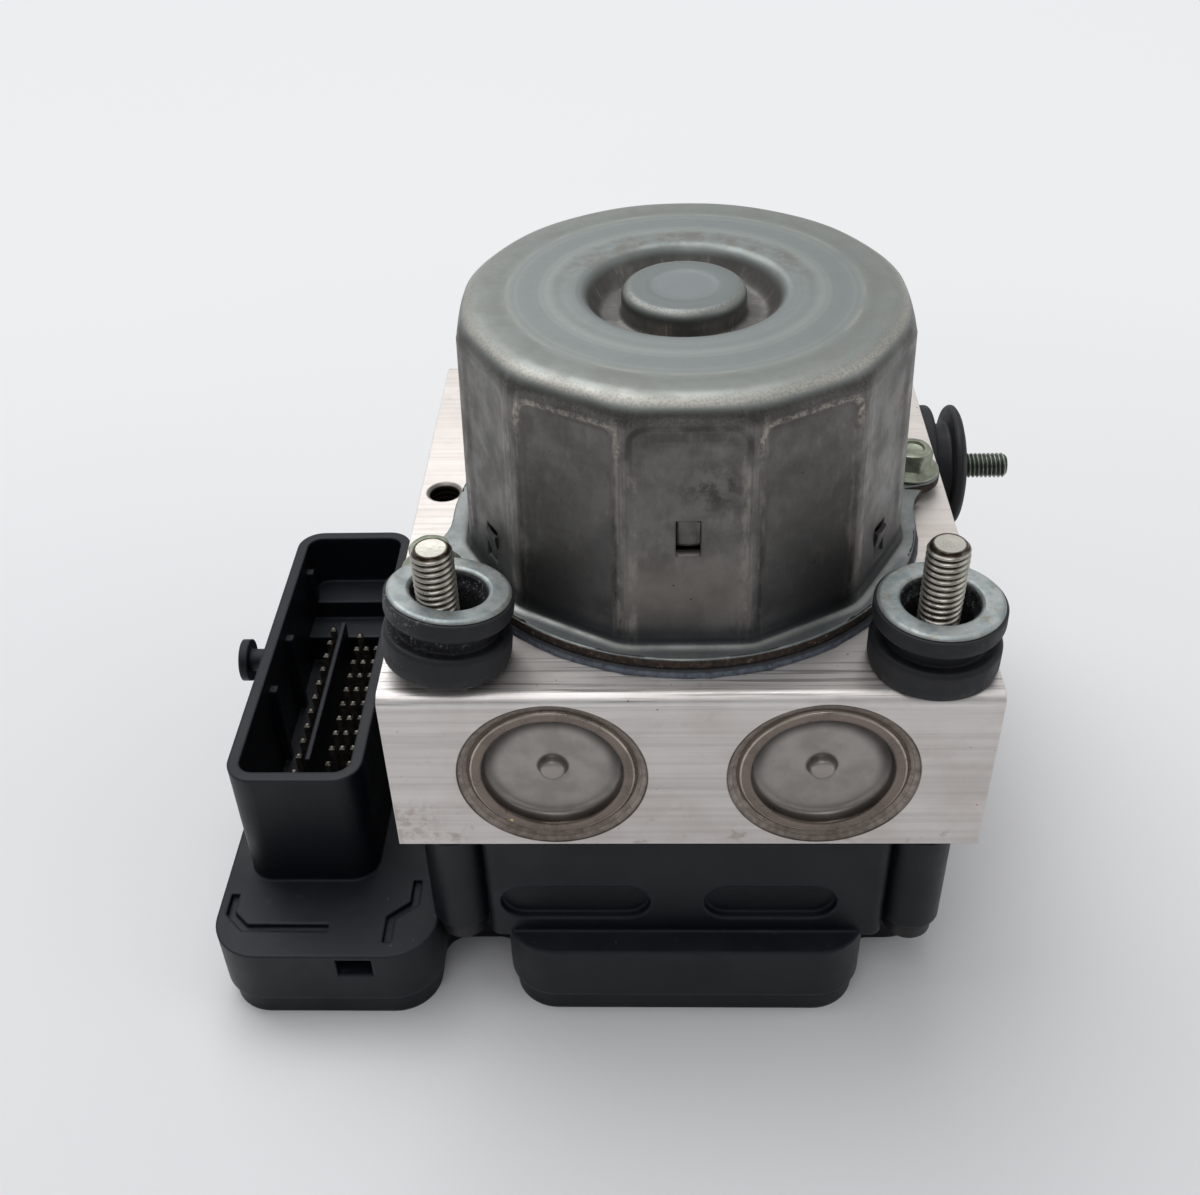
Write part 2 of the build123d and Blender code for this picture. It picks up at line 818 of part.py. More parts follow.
def motor_bolts():
    """Two M5 flange-head bolts through the ears."""
    bolts = []
    for x, y in ear_bolts():
        grip = thread_depth + gasket_height + flange_thickness
        shank = rod(m5_radius, grip, (x, y, flange_top - grip))
        collar = Cone(bolt_flange_radius, bolt_hex_flats / 2, bolt_flange_height,
                      align=(Align.CENTER, Align.CENTER, Align.MIN))
        hexagon = extrude(RegularPolygon(bolt_hex_flats / 2, 6, major_radius=False), bolt_head_height)
        crown = Cone(bolt_hex_flats, bolt_hex_flats / 2, bolt_hex_flats / 2,
                     align=(Align.CENTER, Align.CENTER, Align.MAX))
        hexagon = hexagon & (Pos(0, 0, bolt_head_height) * crown
                             + rod(bolt_hex_flats, bolt_head_height - bolt_hex_flats / 2 + slip))
        head = collar + hexagon
        head = head - rod(bolt_socket_radius, bolt_socket_depth + overrun,
                          (0, 0, bolt_head_height - bolt_socket_depth))
        bolts.append(shank + Pos(x, y, flange_top) * head)
    return bolts


# Motor inside

end_plate_base = flange_base
end_plate_top = end_plate_base + end_plate_thickness
card_top = end_plate_top + card_thickness
boss_base = end_plate_base - end_boss_depth
upper_bearing_base = can_top - dish_depth - can_wall + free
lower_bearing_base = boss_base + overrun


def motor_end_plate():
    """Plate that closes the can, with the lower bearing seat in its boss."""
    body = rod(end_plate_radius, end_plate_thickness, (0, motor_y, end_plate_base))
    body = body + rod(end_boss_radius, end_boss_depth, (0, motor_y, boss_base))
    body = body - rod(bearing_radius, end_boss_depth + end_plate_thickness + overrun,
                      (0, motor_y, lower_bearing_base))
    body = body - rod(bearing_outer_land, end_boss_depth, (0, motor_y, boss_base - overrun))
    body = body - rod(lead_bore_radius, end_plate_thickness + 2 * overrun,
                      (0, lead_bore_y, end_plate_base - overrun))
    return body


def bearing_bases():
    """Heights at which the two ball bearings stand."""
    return (lower_bearing_base, upper_bearing_base)


ball_circle = (bearing_inner_land + bearing_outer_land) / 2


def bearing_rings(outer):
    """Outer or inner rings of both bearings, with ball grooves."""
    rings = []
    groove = Pos(0, 0, bearing_width / 2) * Torus(ball_circle, ball_radius + ball_play)
    for base in bearing_bases():
        if outer:
            ring = tube(bearing_radius, bearing_outer_land, bearing_width)
        else:
            ring = tube(bearing_inner_land, shaft_radius, bearing_width)
        rings.append(Pos(0, motor_y, base) * (ring - groove))
    return rings


def bearing_balls():
    """Balls of both bearings."""
    balls = []
    for base in bearing_bases():
        for x, y in ring_places(ball_count, ball_circle):
            balls.append(Pos(x, motor_y + y, base + bearing_width / 2) * Sphere(ball_radius))
    return balls


spindle_top = lower_bearing_base


def motor_shaft():
    """Shaft with a thinner spindle below for the eccentric."""
    top = upper_bearing_base + bearing_width
    shaft = rod(shaft_radius, top - spindle_top, (0, motor_y, spindle_top))
    spindle = rod(spindle_radius, spindle_length, (0, motor_y, pump_z - eccentric_height / 2 - slip))
    neck_base = pump_z + eccentric_height / 2
    neck = rod(spindle_radius, spindle_top - neck_base, (0, motor_y, neck_base))
    return shaft + spindle + neck


def eccentric():
    """Offset bush pressed on the spindle."""
    base = pump_z - eccentric_height / 2
    bush = rod(eccentric_radius, eccentric_height, (eccentric_throw, motor_y, base))
    return bush - rod(spindle_radius, eccentric_height + 2 * overrun, (0, motor_y, base - overrun))


needle_circle = eccentric_radius + needle_play + needle_radius


def needles():
    """Needle rollers around the eccentric."""
    base = pump_z - needle_height / 2
    return [rod(needle_radius, needle_height, (eccentric_throw + x, motor_y + y, base))
            for x, y in ring_places(needle_count, needle_circle)]


def needle_ring():
    """Outer ring that the plungers run on."""
    bore = needle_circle + needle_radius + needle_play
    return tube(ring_radius, bore, ring_height, (eccentric_throw, motor_y, pump_z - ring_height / 2))


core_base = card_top + commutator_height + winding_height + 2 * free


def lamination_stack():
    """Slotted iron core of the rotor."""
    body = tube(core_radius, shaft_radius, core_height, (0, motor_y, core_base))
    for step in range(core_slots):
        frame = Pos(0, motor_y, core_base) * Rot(0, 0, 360 * step / core_slots)
        slot = box((core_slot_root, core_radius - core_slot_rim),
                   (-core_slot_width / 2, core_slot_width / 2), (-overrun, core_height + overrun))
        mouth = box((core_slot_root, core_radius + overrun),
                    (-core_slot_mouth / 2, core_slot_mouth / 2), (-overrun, core_height + overrun))
        body = body - frame * slot - frame * mouth
    return body


def windings():
    """Copper bars in the slots, joined by an end turn above and below the core."""
    outer = core_radius - winding_inset
    inner = core_slot_root
    below = tube(outer, inner, winding_height, (0, motor_y, core_base - winding_height))
    above = tube(outer, inner, winding_height, (0, motor_y, core_base + core_height))
    body = below + above
    for step in range(core_slots):
        frame = Pos(0, motor_y, core_base) * Rot(0, 0, 360 * step / core_slots)
        half = core_slot_width / 2 - slip
        bar = box((inner + slip, core_radius - core_slot_rim - slip), (-half, half), (-slip, core_height + slip))
        body = body + frame * bar
    return body


def commutator():
    """Copper commutator with a slit between every two segments."""
    body = tube(commutator_radius, shaft_radius, commutator_height, (0, motor_y, card_top))
    for step in range(core_slots):
        frame = Pos(0, motor_y, card_top) * Rot(0, 0, 360 * step / core_slots)
        slit = box((commutator_radius - commutator_slit_depth, commutator_radius + overrun),
                   (-commutator_slit / 2, commutator_slit / 2), (-overrun, commutator_height + overrun))
        body = body - frame * slit
    return body


brush_start = commutator_radius + free
brush_base = card_top + free


def brush_card():
    """Plastic disc with two brush boxes and the stalk that guides the contact blades."""
    body = tube(card_radius, card_bore, card_thickness, (0, motor_y, end_plate_top))
    stalk_base = block_base + overrun
    body = body + rod(stalk_radius, end_plate_top - stalk_base, (0, lead_bore_y, stalk_base))
    length = brush_length + brush_spring_length
    start = brush_start + overrun
    half = brush_width / 2 + brush_box_wall
    for turn in (0, 180):
        frame = Pos(0, motor_y, card_top) * Rot(0, 0, turn)
        outer = box((start, brush_start + length + brush_box_wall), (-half, half),
                    (0, free + brush_height + brush_box_wall / 2))
        inner = box((start - overrun, brush_start + length),
                    (-brush_width / 2 - slip, brush_width / 2 + slip), (free - slip, brush_height + free + slip))
        body = body + frame * outer - frame * inner
    for side in (-1, 1):
        x = side * blade_offset
        slot = box((x - blade_thickness / 2, x + blade_thickness / 2),
                   (lead_bore_y - blade_width / 2, lead_bore_y + blade_width / 2),
                   (stalk_base - overrun, card_top + overrun))
        body = body - slot
    return body


def carbon_brushes():
    """Two carbon brushes that bear on the commutator."""
    brush = box((brush_start, brush_start + brush_length), (-brush_width / 2, brush_width / 2),
                (brush_base, brush_base + brush_height))
    return [Pos(0, motor_y, 0) * Rot(0, 0, turn) * brush for turn in (0, 180)]


def brush_springs():
    """Springs that press the brushes inward."""
    middle = brush_base + brush_height / 2
    start = brush_start + brush_length
    return [coil_spring(brush_spring_radius, brush_spring_wire, brush_spring_length,
                        brush_spring_turns, (side * start, motor_y, middle), along)
            for side, along in ((1, "x"), (-1, "-x"))]


def motor_contact_blades():
    """Two copper blades from the brush card down to the circuit board."""
    base = board_base + board_thickness
    blades = []
    for side in (-1, 1):
        x = side * blade_offset
        blades.append(box((x - blade_thickness / 2, x + blade_thickness / 2),
                          (lead_bore_y - blade_width / 2, lead_bore_y + blade_width / 2),
                          (base, card_top)))
    return blades


def motor_magnets():
    """Curved magnets inside the can, between the lances."""
    outer = can_apothem - can_wall - slip
    base = can_top - dish_depth - magnet_top_gap - magnet_height
    ring = tube(outer, magnet_inner_radius, magnet_height)
    reach = can_apothem + can_wall
    wedge_side = reach * tan(radians(magnet_span / 2))
    wedge = make_face(Polyline((0, 0), (reach, -wedge_side), (reach, wedge_side), close=True))
    segment = ring & extrude(wedge, magnet_height)
    step = 360 / magnet_count
    return [Pos(0, motor_y, base) * Rot(0, 0, step * index + step / 2 + side_angle) * segment
            for index in range(magnet_count)]


# Valves

def valve_places(row_y):
    """Valve axes of one row, left to right."""
    return [(x, row_y) for x in valve_columns_x]


def valve_cartridges(row_y):
    """Steel cartridges in the block, each with the closed tube that hangs below it."""
    bodies = []
    for x, y in valve_places(row_y):
        core = rod(valve_bore_radius, valve_bore_depth, (x, y, block_base))
        dome = rod(dome_radius, dome_length, (x, y, block_base - dome_length))
        body = core + dome
        inside_base = block_base - dome_length + dome_end
        room = armature_length + armature_rest_gap + armature_lift + slip
        body = body - rod(dome_radius - dome_wall, room, (x, y, inside_base))
        bodies.append(body)
    return bodies


def valve_armature(x, y):
    """Iron armature that the coil lifts inside its tube."""
    base = block_base - dome_length + dome_end + armature_rest_gap
    return rod(dome_radius - dome_wall - slip, armature_length, (x, y, base))


def valve_coils(row_y):
    """Wound coils around the tubes, each with two pins down to the circuit board."""
    coils = []
    board_top = board_base + board_thickness
    for x, y in valve_places(row_y):
        base = block_base - coil_height
        body = tube(coil_radius, coil_bore_radius, coil_height, (x, y, base))
        waist = tube(coil_radius + overrun, coil_radius - coil_recess,
                     coil_height - 2 * coil_flange_height, (x, y, base + coil_flange_height))
        body = body - waist
        offset = (coil_radius + coil_bore_radius) / 2
        for side in (-1, 1):
            pin_x = x + side * offset
            body = body + box((pin_x - coil_pin / 2, pin_x + coil_pin / 2),
                              (y - coil_pin / 2, y + coil_pin / 2), (board_top, base + slip))
        coils.append(body)
    return coils


# Control unit

def tray_points(inset):
    """Plan outline of the tray, moved inward by an inset."""
    return [
        (body_left + inset, body_front + inset),
        (body_right - inset, body_front + inset),
        (body_right - inset, -ecu_half_depth + inset),
        (-ledge_half_width + inset, -ecu_half_depth + inset),
        (-ledge_half_width + inset, ledge_front + inset),
        (ledge_half_width - inset, ledge_front + inset),
        (ledge_half_width - inset, -ecu_half_depth + inset),
        (ecu_half_width - inset, -ecu_half_depth + inset),
        (ecu_half_width - inset, ecu_half_depth - inset),
        (ledge_half_width - inset, ecu_half_depth - inset),
        (ledge_half_width - inset, ledge_back - inset),
        (-ledge_half_width + inset, ledge_back - inset),
        (-ledge_half_width + inset, ecu_half_depth - inset),
        (body_left + inset, ecu_half_depth - inset),
    ]


tray_inner_corners = (2, 3, 6, 9, 12)
tray_back_corners = (10, 11)


def tray_prism(inset, base, height):
    """Prism on the tray's plan with its corners rounded."""
    radii = {}
    for index in range(len(tray_points(inset))):
        if index in tray_inner_corners:
            radii[index] = plan_inner_corner + inset
        elif index in tray_back_corners:
            radii[index] = plan_back_corner - inset
        else:
            radii[index] = plan_outer_corner - inset
    return plate(tray_points(inset), base, height, radii)


def upper_points(inset):
    """Plan outline of the upper walls below the block."""
    wide = ecu_half_width - inset
    narrow = upper_half_width - inset
    deep = ecu_half_depth - inset
    front = upper_front + inset
    back = ledge_back - inset
    return [(-wide, -deep), (-narrow, -deep), (-narrow, front), (narrow, front), (narrow, -deep),
            (wide, -deep), (wide, deep), (narrow, deep), (narrow, back), (-narrow, back),
            (-narrow, deep), (-wide, deep)]


def upper_prism(inset, base, height):
    """Prism on the plan of the upper walls."""
    return plate(upper_points(inset), base, height, default=upper_corner)


def boss_places():
    """Screw bosses at the four corners."""
    return [(x, y) for x in (-boss_x, boss_x) for y in (-boss_y, boss_y)]


def stadium(start, end, low, high, front, depth):
    """Cutter with round ends for a pocket in the front wall."""
    radius = (high - low) / 2
    middle = (high + low) / 2
    place = front - overrun
    length = depth + overrun
    cutter = box((start + radius, end - radius), (place, place + length), (low, high))
    for x in (start + radius, end - radius):
        cutter = cutter + rod(radius, length, (x, place, middle), "y")
    return cutter


def connector_shroud():
    """Open-topped collar around the pins, with keys, a divider and steps at the back."""
    top = tray_top + shroud_height
    outer = plate([(shroud_left, shroud_front), (shroud_right, shroud_front),
                   (shroud_right, shroud_back), (shroud_left, shroud_back)],
                  tray_top, shroud_height, default=shroud_corner)
    left = shroud_left + shroud_wall
    right = shroud_right - shroud_wall
    front = shroud_front + shroud_wall
    back = shroud_back - shroud_wall
    floor = tray_top + shroud_floor
    inner = plate([(left, front), (right, front), (right, back), (left, back)],
                  floor, shroud_height, default=shroud_corner - shroud_wall)
    body = outer - inner
    divider = box((divider_x - divider_thickness / 2, divider_x + divider_thickness / 2),
                  (divider_front, divider_back), (floor - overrun, floor + divider_rise))
    low_step = box((left - slip, right + slip), (step_front, back + slip),
                   (floor - overrun, floor + low_step_rise))
    high_step = box((left - slip, right + slip), (step_middle, back + slip),
                    (floor - overrun, floor + high_step_rise))
    body = body + divider + low_step + high_step
    for y in key_rib_places:
        rib = box((left - slip, left + key_rib_depth), (y, y + key_rib_width),
                  (floor - overrun, top - shroud_floor))
        body = body + rib
    pivot_z = top - pivot_drop
    body = body + rod(pivot_stem_radius, pivot_stem_length + shroud_wall,
                      (shroud_left + shroud_wall, pivot_y, pivot_z), "-x")
    body = body + rod(pivot_disc_radius, pivot_disc_thickness,
                      (shroud_left - pivot_stem_length, pivot_y, pivot_z), "-x")
    return body


def roof_grooves():
    """Cutters for the two shallow grooves in the left body's roof."""
    base = tray_top - roof_groove_depth
    front_y = body_front + 3 * ecu_wall - roof_groove_width / 2
    first = [(shroud_left - roof_groove_width, shroud_front - plan_inner_corner),
             (shroud_left - roof_groove_width, front_y + plan_inner_corner),
             (shroud_left + plan_inner_corner - roof_groove_width, front_y),
             (body_left + plan_outer_corner + 5 * ecu_wall, front_y)]
    step_y = body_front + plan_outer_corner
    second = [(body_right - plan_outer_corner, body_front + plan_inner_corner),
              (body_right - plan_outer_corner, step_y),
              (body_right - plan_inner_corner - roof_groove_width, step_y + plan_inner_corner),
              (body_right - plan_inner_corner - roof_groove_width, shroud_front)]
    cutters = []
    for points in (first, second):
        strip = trace(Polyline(*points), roof_groove_width)
        cutters.append(Pos(0, 0, base) * extrude(strip, roof_groove_depth + overrun))
    return cutters


def ecu_housing():
    """Black plastic housing: tray, upper walls, screw bosses and connector shroud."""
    body = tray_prism(0, tray_base, tray_height)
    body = body + upper_prism(0, tray_top - overrun, wall_height + overrun)
    tray_room = tray_prism(ecu_wall, tray_base - overrun, tray_height - roof_thickness + overrun)
    upper_room = upper_prism(ecu_wall, tray_top, wall_height + overrun)
    passage = (tray_prism(ecu_wall, tray_base, tray_height + overrun)
               & upper_prism(ecu_wall, tray_base, tray_height + overrun))
    body = body - tray_room - upper_room - passage

    for x, y in boss_places():
        side_y = 1 if y > 0 else -1
        length = wall_height - boss_drop
        boss = rod(boss_radius, length, (x, y, wall_top - length))
        web_end = side_y * (ecu_half_depth - ecu_wall / 2)
        web = box((x - boss_web / 2, x + boss_web / 2), sorted((y, web_end)),
                  (wall_top - length, wall_top))
        body = body + boss + web
    body = body + connector_shroud()

    for x, y in boss_places():
        hole = rod(screw_radius, wall_height + 2 * overrun, (x, y, tray_top))
        body = body - hole
    for start, end in ((left_pocket_start, left_pocket_end), (right_pocket_start, right_pocket_end)):
        body = body - stadium(start, end, pocket_base, pocket_top, upper_front, pocket_depth)
    for cutter in roof_grooves():
        body = body - cutter

    back_of_block = body_front + front_hole_depth + front_hole_wall
    backing = box((front_hole_start - front_hole_wall, front_hole_end + front_hole_wall),
                  (body_front + ecu_wall / 2, back_of_block),
                  (front_hole_base - front_hole_wall, tray_top - roof_thickness / 2))
    hole = box((front_hole_start, front_hole_end), (body_front - overrun, body_front + front_hole_depth),
               (front_hole_base, front_hole_top))
    body = body + backing - hole

    board_top = board_base + board_thickness
    roof_under = tray_top - roof_thickness
    for x in (board_left + 2 * post_radius, body_right - 2 * post_radius):
        for y in (board_front + 2 * post_radius, board_back - 2 * post_radius):
            body = body + rod(post_radius, roof_under - board_top + slip, (x, y, board_top))
    inner_right = ecu_half_width - ecu_wall
    rail = box((inner_right - rail_width, inner_right + slip), (-rail_half_length, rail_half_length),
               (board_top, board_top + rail_width))
    return body + rail


def ecu_gasket():
    """Seal between the housing's upper rim and the block."""
    return (upper_prism(0, wall_top, ecu_gasket_height)
            - upper_prism(ecu_wall, wall_top - overrun, ecu_gasket_height + 2 * overrun))


def ecu_cover():
    """Lid that closes the tray from below."""
    body = tray_prism(cover_inset, 0, cover_height)
    body = body - tray_prism(cover_inset + cover_rim, cover_floor, cover_height)
    return body - rod(vent_radius, cover_floor + 2 * overrun, (vent_x, vent_y, -overrun))


def pressure_vent():
    """Small membrane disc in the lid."""
    return rod(vent_radius, vent_thickness, (vent_x, vent_y, vent_lift))


def ecu_screws():
    """Screws that hold the control unit to the block from below."""
    screws = []
    for x, y in boss_places():
        seat = tray_top + boss_drop
        length = block_base + screw_grip - seat
        screw = rod(screw_radius, length, (x, y, seat))
        head = rod(screw_head_radius, screw_head_height, (x, y, seat - screw_head_height))
        socket = rod(screw_socket_radius, screw_socket_depth + overrun,
                     (x, y, seat - screw_head_height - overrun))
        screws.append(screw + head - socket)
    return screws


def circuit_board():
    """Board that carries the coils' pins and the connector pins."""
    return plate([(board_left, board_front), (board_right, board_front), (board_right, board_back),
                  (board_left, board_back)], board_base, board_thickness, default=board_corner)


def connector_pins():
    """Square contact pins that stand on the board and end inside the shroud."""
    pins = []
    base = board_base + board_thickness
    for x, count, first_y in zip(row_columns_x, row_counts, row_front_y):
        for step in range(count):
            y = first_y + step * pin_pitch
            half = pin_size / 2
            pin = box((x - half, x + half), (y - half, y + half), (base, pin_tip))
            pins.append(chamfer(pin.faces().sort_by(Axis.Z)[-1].edges(), pin_taper))
    return pins


def cut_pin_holes(housing):
    """Housing with a hole for every pin through the shroud's floor."""
    for x, count, first_y in zip(row_columns_x, row_counts, row_front_y):
        half = pin_size / 2
        for step in range(count):
            y = first_y + step * pin_pitch
            housing = housing - box((x - half, x + half), (y - half, y + half),
                                    (tray_top - roof_thickness - overrun, tray_top + shroud_floor + overrun))
    return housing


# Studs, grommets and washers

def grommet_shape(flange, base_height, groove, groove_height, top_height, bore):
    """Rubber bush with a groove for the bracket between two flanges."""
    top = base_height + groove_height + top_height
    outline = [(bore, 0), (flange, 0), (flange, base_height), (groove, base_height),
               (groove, base_height + groove_height), (flange, base_height + groove_height),
               (flange, top), (bore, top)]
    body = turned(outline)
    rims = [edge for edge in body.edges().filter_by(GeomType.CIRCLE)
            if abs(edge.radius - flange) < slip]
    return fillet(rims, grommet_rounding)


def upright_frame():
    """Place of the right grommet, square to the block."""
    return Pos(stud_x, stud_y, block_top)


def cocked_frame():
    """Place of the left grommet, leaning right and back against its stud."""
    return (Pos(-stud_x + cocked_base_x, stud_y + cocked_base_y, block_top + cocked_lift)
            * Rot(-cocked_tilt, cocked_tilt, 0))


def front_grommet(frame):
    """Rubber bush around a front stud."""
    shape = grommet_shape(grommet_flange_radius, grommet_base_height, grommet_groove_radius,
                          grommet_groove_height, grommet_top_height, grommet_bore_radius)
    return frame * shape


def grommet_washers():
    """Steel washers bonded on the two front grommets."""
    base = grommet_base_height + grommet_groove_height + grommet_top_height
    washer = tube(washer_radius, grommet_bore_radius, washer_thickness, (0, 0, base))
    rims = washer.edges().filter_by(GeomType.CIRCLE).group_by(Axis.Z)[-1]
    washer = chamfer(rims, washer_thickness / 3)
    return [cocked_frame() * washer, upright_frame() * washer]


def side_grommet():
    """Rubber bush on the right side face, with a domed outer flange."""
    groove_start = side_inner_height
    groove_end = groove_start + side_groove_height
    end = groove_end + side_outer_height
    outline = [(side_bore_radius, 0), (side_grommet_radius, 0), (side_grommet_radius, groove_start),
               (side_groove_radius, groove_start), (side_groove_radius, groove_end),
               (side_grommet_radius, groove_end), (side_grommet_radius, end - side_dome),
               (side_groove_radius, end), (side_bore_radius, end)]
    body = turned(outline)
    rims = [edge for edge in body.edges().filter_by(GeomType.CIRCLE)
            if abs(edge.radius - side_grommet_radius) < slip]
    body = fillet(rims, grommet_rounding)
    return Pos(block_right, side_stud_y, side_stud_z) * TURNS["x"] * body


def screwed_stud(radius, buried, reach, free):
    """Stud along +Z out of a hole: thread in the hole, thinner shank, thread at the free end."""
    body = rod(radius - stud_shank_relief, buried + reach, (0, 0, -buried))
    body += rod(radius, buried, (0, 0, -buried))
    body += rod(radius, free, (0, 0, reach - free))
    tip = body.edges().filter_by(GeomType.CIRCLE).sort_by(Axis.Z)[-1]
    return chamfer(tip, stud_chamfer)


def mount_studs():
    """Two upright M6 studs and the M5 stud in the side face."""
    upright = screwed_stud(m6_radius, thread_depth, stud_top_rise, stud_free_length)
    studs = [Pos(side * stud_x, stud_y, block_top) * upright for side in (-1, 1)]
    sideways = screwed_stud(side_stud_radius, side_stud_depth, side_stud_reach, side_stud_free_length)
    studs.append(Pos(block_right, side_stud_y, side_stud_z) * TURNS["x"] * sideways)
    return studs


def build_nodes():
    """Every sub-part by name: one solid, or a list for a group of separate solids."""
    nodes = {
        "hydraulic_block": hydraulic_block(),
        "passage_plugs": passage_plugs(),
        "pump_sleeves": pump_sleeves(),
        "pump_plugs": pump_plugs(),
        "motor_can": motor_can(),
        "motor_gasket": motor_gasket(),
        "motor_bolts": motor_bolts(),
        "motor_end_plate": motor_end_plate(),
        "motor_magnets": motor_magnets(),
        "bearing_outer_rings": bearing_rings(True),
        "bearing_inner_rings": bearing_rings(False),
        "bearing_balls": bearing_balls(),
        "motor_shaft": motor_shaft(),
        "eccentric": eccentric(),
        "needles": needles(),
        "needle_ring": needle_ring(),
        "lamination_stack": lamination_stack(),
        "windings": windings(),
        "commutator": commutator(),
        "brush_card": brush_card(),
        "carbon_brushes": carbon_brushes(),
        "brush_springs": brush_springs(),
        "motor_contact_blades": motor_contact_blades(),
        "inlet_valve_cartridges": valve_cartridges(inlet_row_y),
        "outlet_valve_cartridges": valve_cartridges(outlet_row_y),
        "inlet_valve_coils": valve_coils(inlet_row_y),
        "outlet_valve_coils": valve_coils(outlet_row_y),
        "ecu_housing": cut_pin_holes(ecu_housing()),
        "ecu_gasket": ecu_gasket(),
        "ecu_cover": ecu_cover(),
        "pressure_vent": pressure_vent(),
        "ecu_screws": ecu_screws(),
        "circuit_board": circuit_board(),
        "connector_pins": connector_pins(),
        "grommet_left": front_grommet(cocked_frame()),
        "grommet_right": front_grommet(upright_frame()),
        "grommet_side": side_grommet(),
        "grommet_washers": grommet_washers(),
        "mount_studs": mount_studs(),
    }
    for side, name in ((-1, "left"), (1, "right")):
        nodes["accumulator_cap_" + name] = accumulator_cap(side)
        nodes["accumulator_piston_" + name] = accumulator_piston(side)
        nodes["accumulator_seal_" + name] = accumulator_seal(side)
        nodes["accumulator_spring_" + name] = accumulator_spring(side)
        nodes["pump_piston_" + name] = pump_piston(side)
        nodes["pump_spring_" + name] = pump_spring(side)
    for kind, row_y in (("inlet", inlet_row_y), ("outlet", outlet_row_y)):
        for number, (x, y) in enumerate(valve_places(row_y), start=1):
            nodes[f"{kind}_armature_{number}"] = valve_armature(x, y)
    return nodes


def main():
    """Write one STEP file for each sub-part."""
    os.makedirs("parts", exist_ok=True)
    for name, shape in build_nodes().items():
        solids = shape if isinstance(shape, list) else [shape]
        whole = solids[0] if len(solids) == 1 else Compound(children=solids)
        whole.label = name
        export_step(whole, os.path.join("parts", name + ".step"))


if __name__ == "__main__":
    main()
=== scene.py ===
"""ABS brake module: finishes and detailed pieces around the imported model.

Metres throughout. The block's front face looks along -Y, the motor's axis is vertical.
"""
import json
import math

import bmesh
import bpy
from bpy.props import FloatProperty, FloatVectorProperty, PointerProperty
from mathutils import Euler, Matrix, Vector


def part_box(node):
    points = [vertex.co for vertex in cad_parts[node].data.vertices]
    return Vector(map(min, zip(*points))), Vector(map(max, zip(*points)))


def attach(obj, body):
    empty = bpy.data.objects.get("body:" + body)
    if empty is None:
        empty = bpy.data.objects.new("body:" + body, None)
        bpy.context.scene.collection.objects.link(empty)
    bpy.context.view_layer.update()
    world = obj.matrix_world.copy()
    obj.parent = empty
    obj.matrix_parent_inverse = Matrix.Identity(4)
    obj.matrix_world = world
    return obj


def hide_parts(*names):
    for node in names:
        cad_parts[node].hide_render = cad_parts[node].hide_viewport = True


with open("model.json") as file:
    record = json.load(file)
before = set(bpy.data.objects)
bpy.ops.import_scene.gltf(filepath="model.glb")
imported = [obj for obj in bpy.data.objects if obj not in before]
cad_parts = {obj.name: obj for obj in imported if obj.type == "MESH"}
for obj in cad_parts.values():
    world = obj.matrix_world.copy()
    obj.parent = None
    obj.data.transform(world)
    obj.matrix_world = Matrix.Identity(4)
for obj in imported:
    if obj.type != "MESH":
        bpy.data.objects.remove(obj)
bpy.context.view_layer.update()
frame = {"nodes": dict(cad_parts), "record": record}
NODES = frame["nodes"]

bl_info = {
    "name": "ABS brake module",
    "version": (1, 0, 0),
    "blender": (4, 5, 0),
    "location": "3D View > Sidebar > Brake Module",
    "description": "Finishes and detailed pieces of an anti-lock brake module",
    "category": "Object",
}

MM = 0.001

# Fixed sizes of the can, its windows, the caps' rings and the studs
SIDES = 12
PANEL_DROP = 4.4 * MM
PANEL_CORNER = 2.2 * MM
PANEL_INSET = 0.9 * MM
CIRCLE_SWELL = 0.6 * MM
HIGH_WINDOW_DROP = 18.2 * MM
LOW_WINDOW_RISE = 3.0 * MM
TONGUE_GAP = 0.9 * MM
TONGUE_SIDE_GAP = 0.22 * MM
TONGUE_THICKNESS = 0.7 * MM
KNOB_RISE = 0.3 * MM
STAKED_RADIUS = 14.12 * MM
BRACKET_BORE = 3.1 * MM
STUD_RADIUS = 3.0 * MM
SIDE_STUD_RADIUS = 2.35 * MM
FRONT = -math.pi / 2


def tone(red, green, blue):
    """Scene colour of a tone given as it is seen, from 0 to 255."""
    def linear(channel):
        share = channel / 255
        if share <= 0.04045:
            return share / 12.92
        return ((share + 0.055) / 1.055) ** 2.4
    return (linear(red), linear(green), linear(blue))


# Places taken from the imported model

def middle(node):
    """Middle of a node's box."""
    low, high = (Vector(corner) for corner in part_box(node))
    return (low + high) / 2


def limits(node):
    """Lowest and highest corner of a node's box."""
    low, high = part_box(node)
    return Vector(low), Vector(high)


BLOCK_LOW, BLOCK_HIGH = limits("hydraulic_block")
CAN_LOW, CAN_HIGH = limits("motor_can")
GASKET_LOW, GASKET_HIGH = limits("motor_gasket")
AXIS_Y = middle("motor_gasket").y


def frame_mount(name):
    """Place of a mount in metres."""
    places = {mount["name"]: mount["pos_m"] for mount in frame["record"]["mounts"]}
    return Vector(places[name])


def size_prop(name, description, millimetres):
    """Length property, its default given in millimetres."""
    return FloatProperty(name=name, description=description, default=millimetres * MM, min=0.0, max=0.2,
                         precision=5, subtype="DISTANCE", unit="LENGTH")


def colour_prop(name, description, default):
    """Colour property."""
    return FloatVectorProperty(name=name, description=description, default=default, size=3,
                               min=0.0, max=1.0, subtype="COLOR")


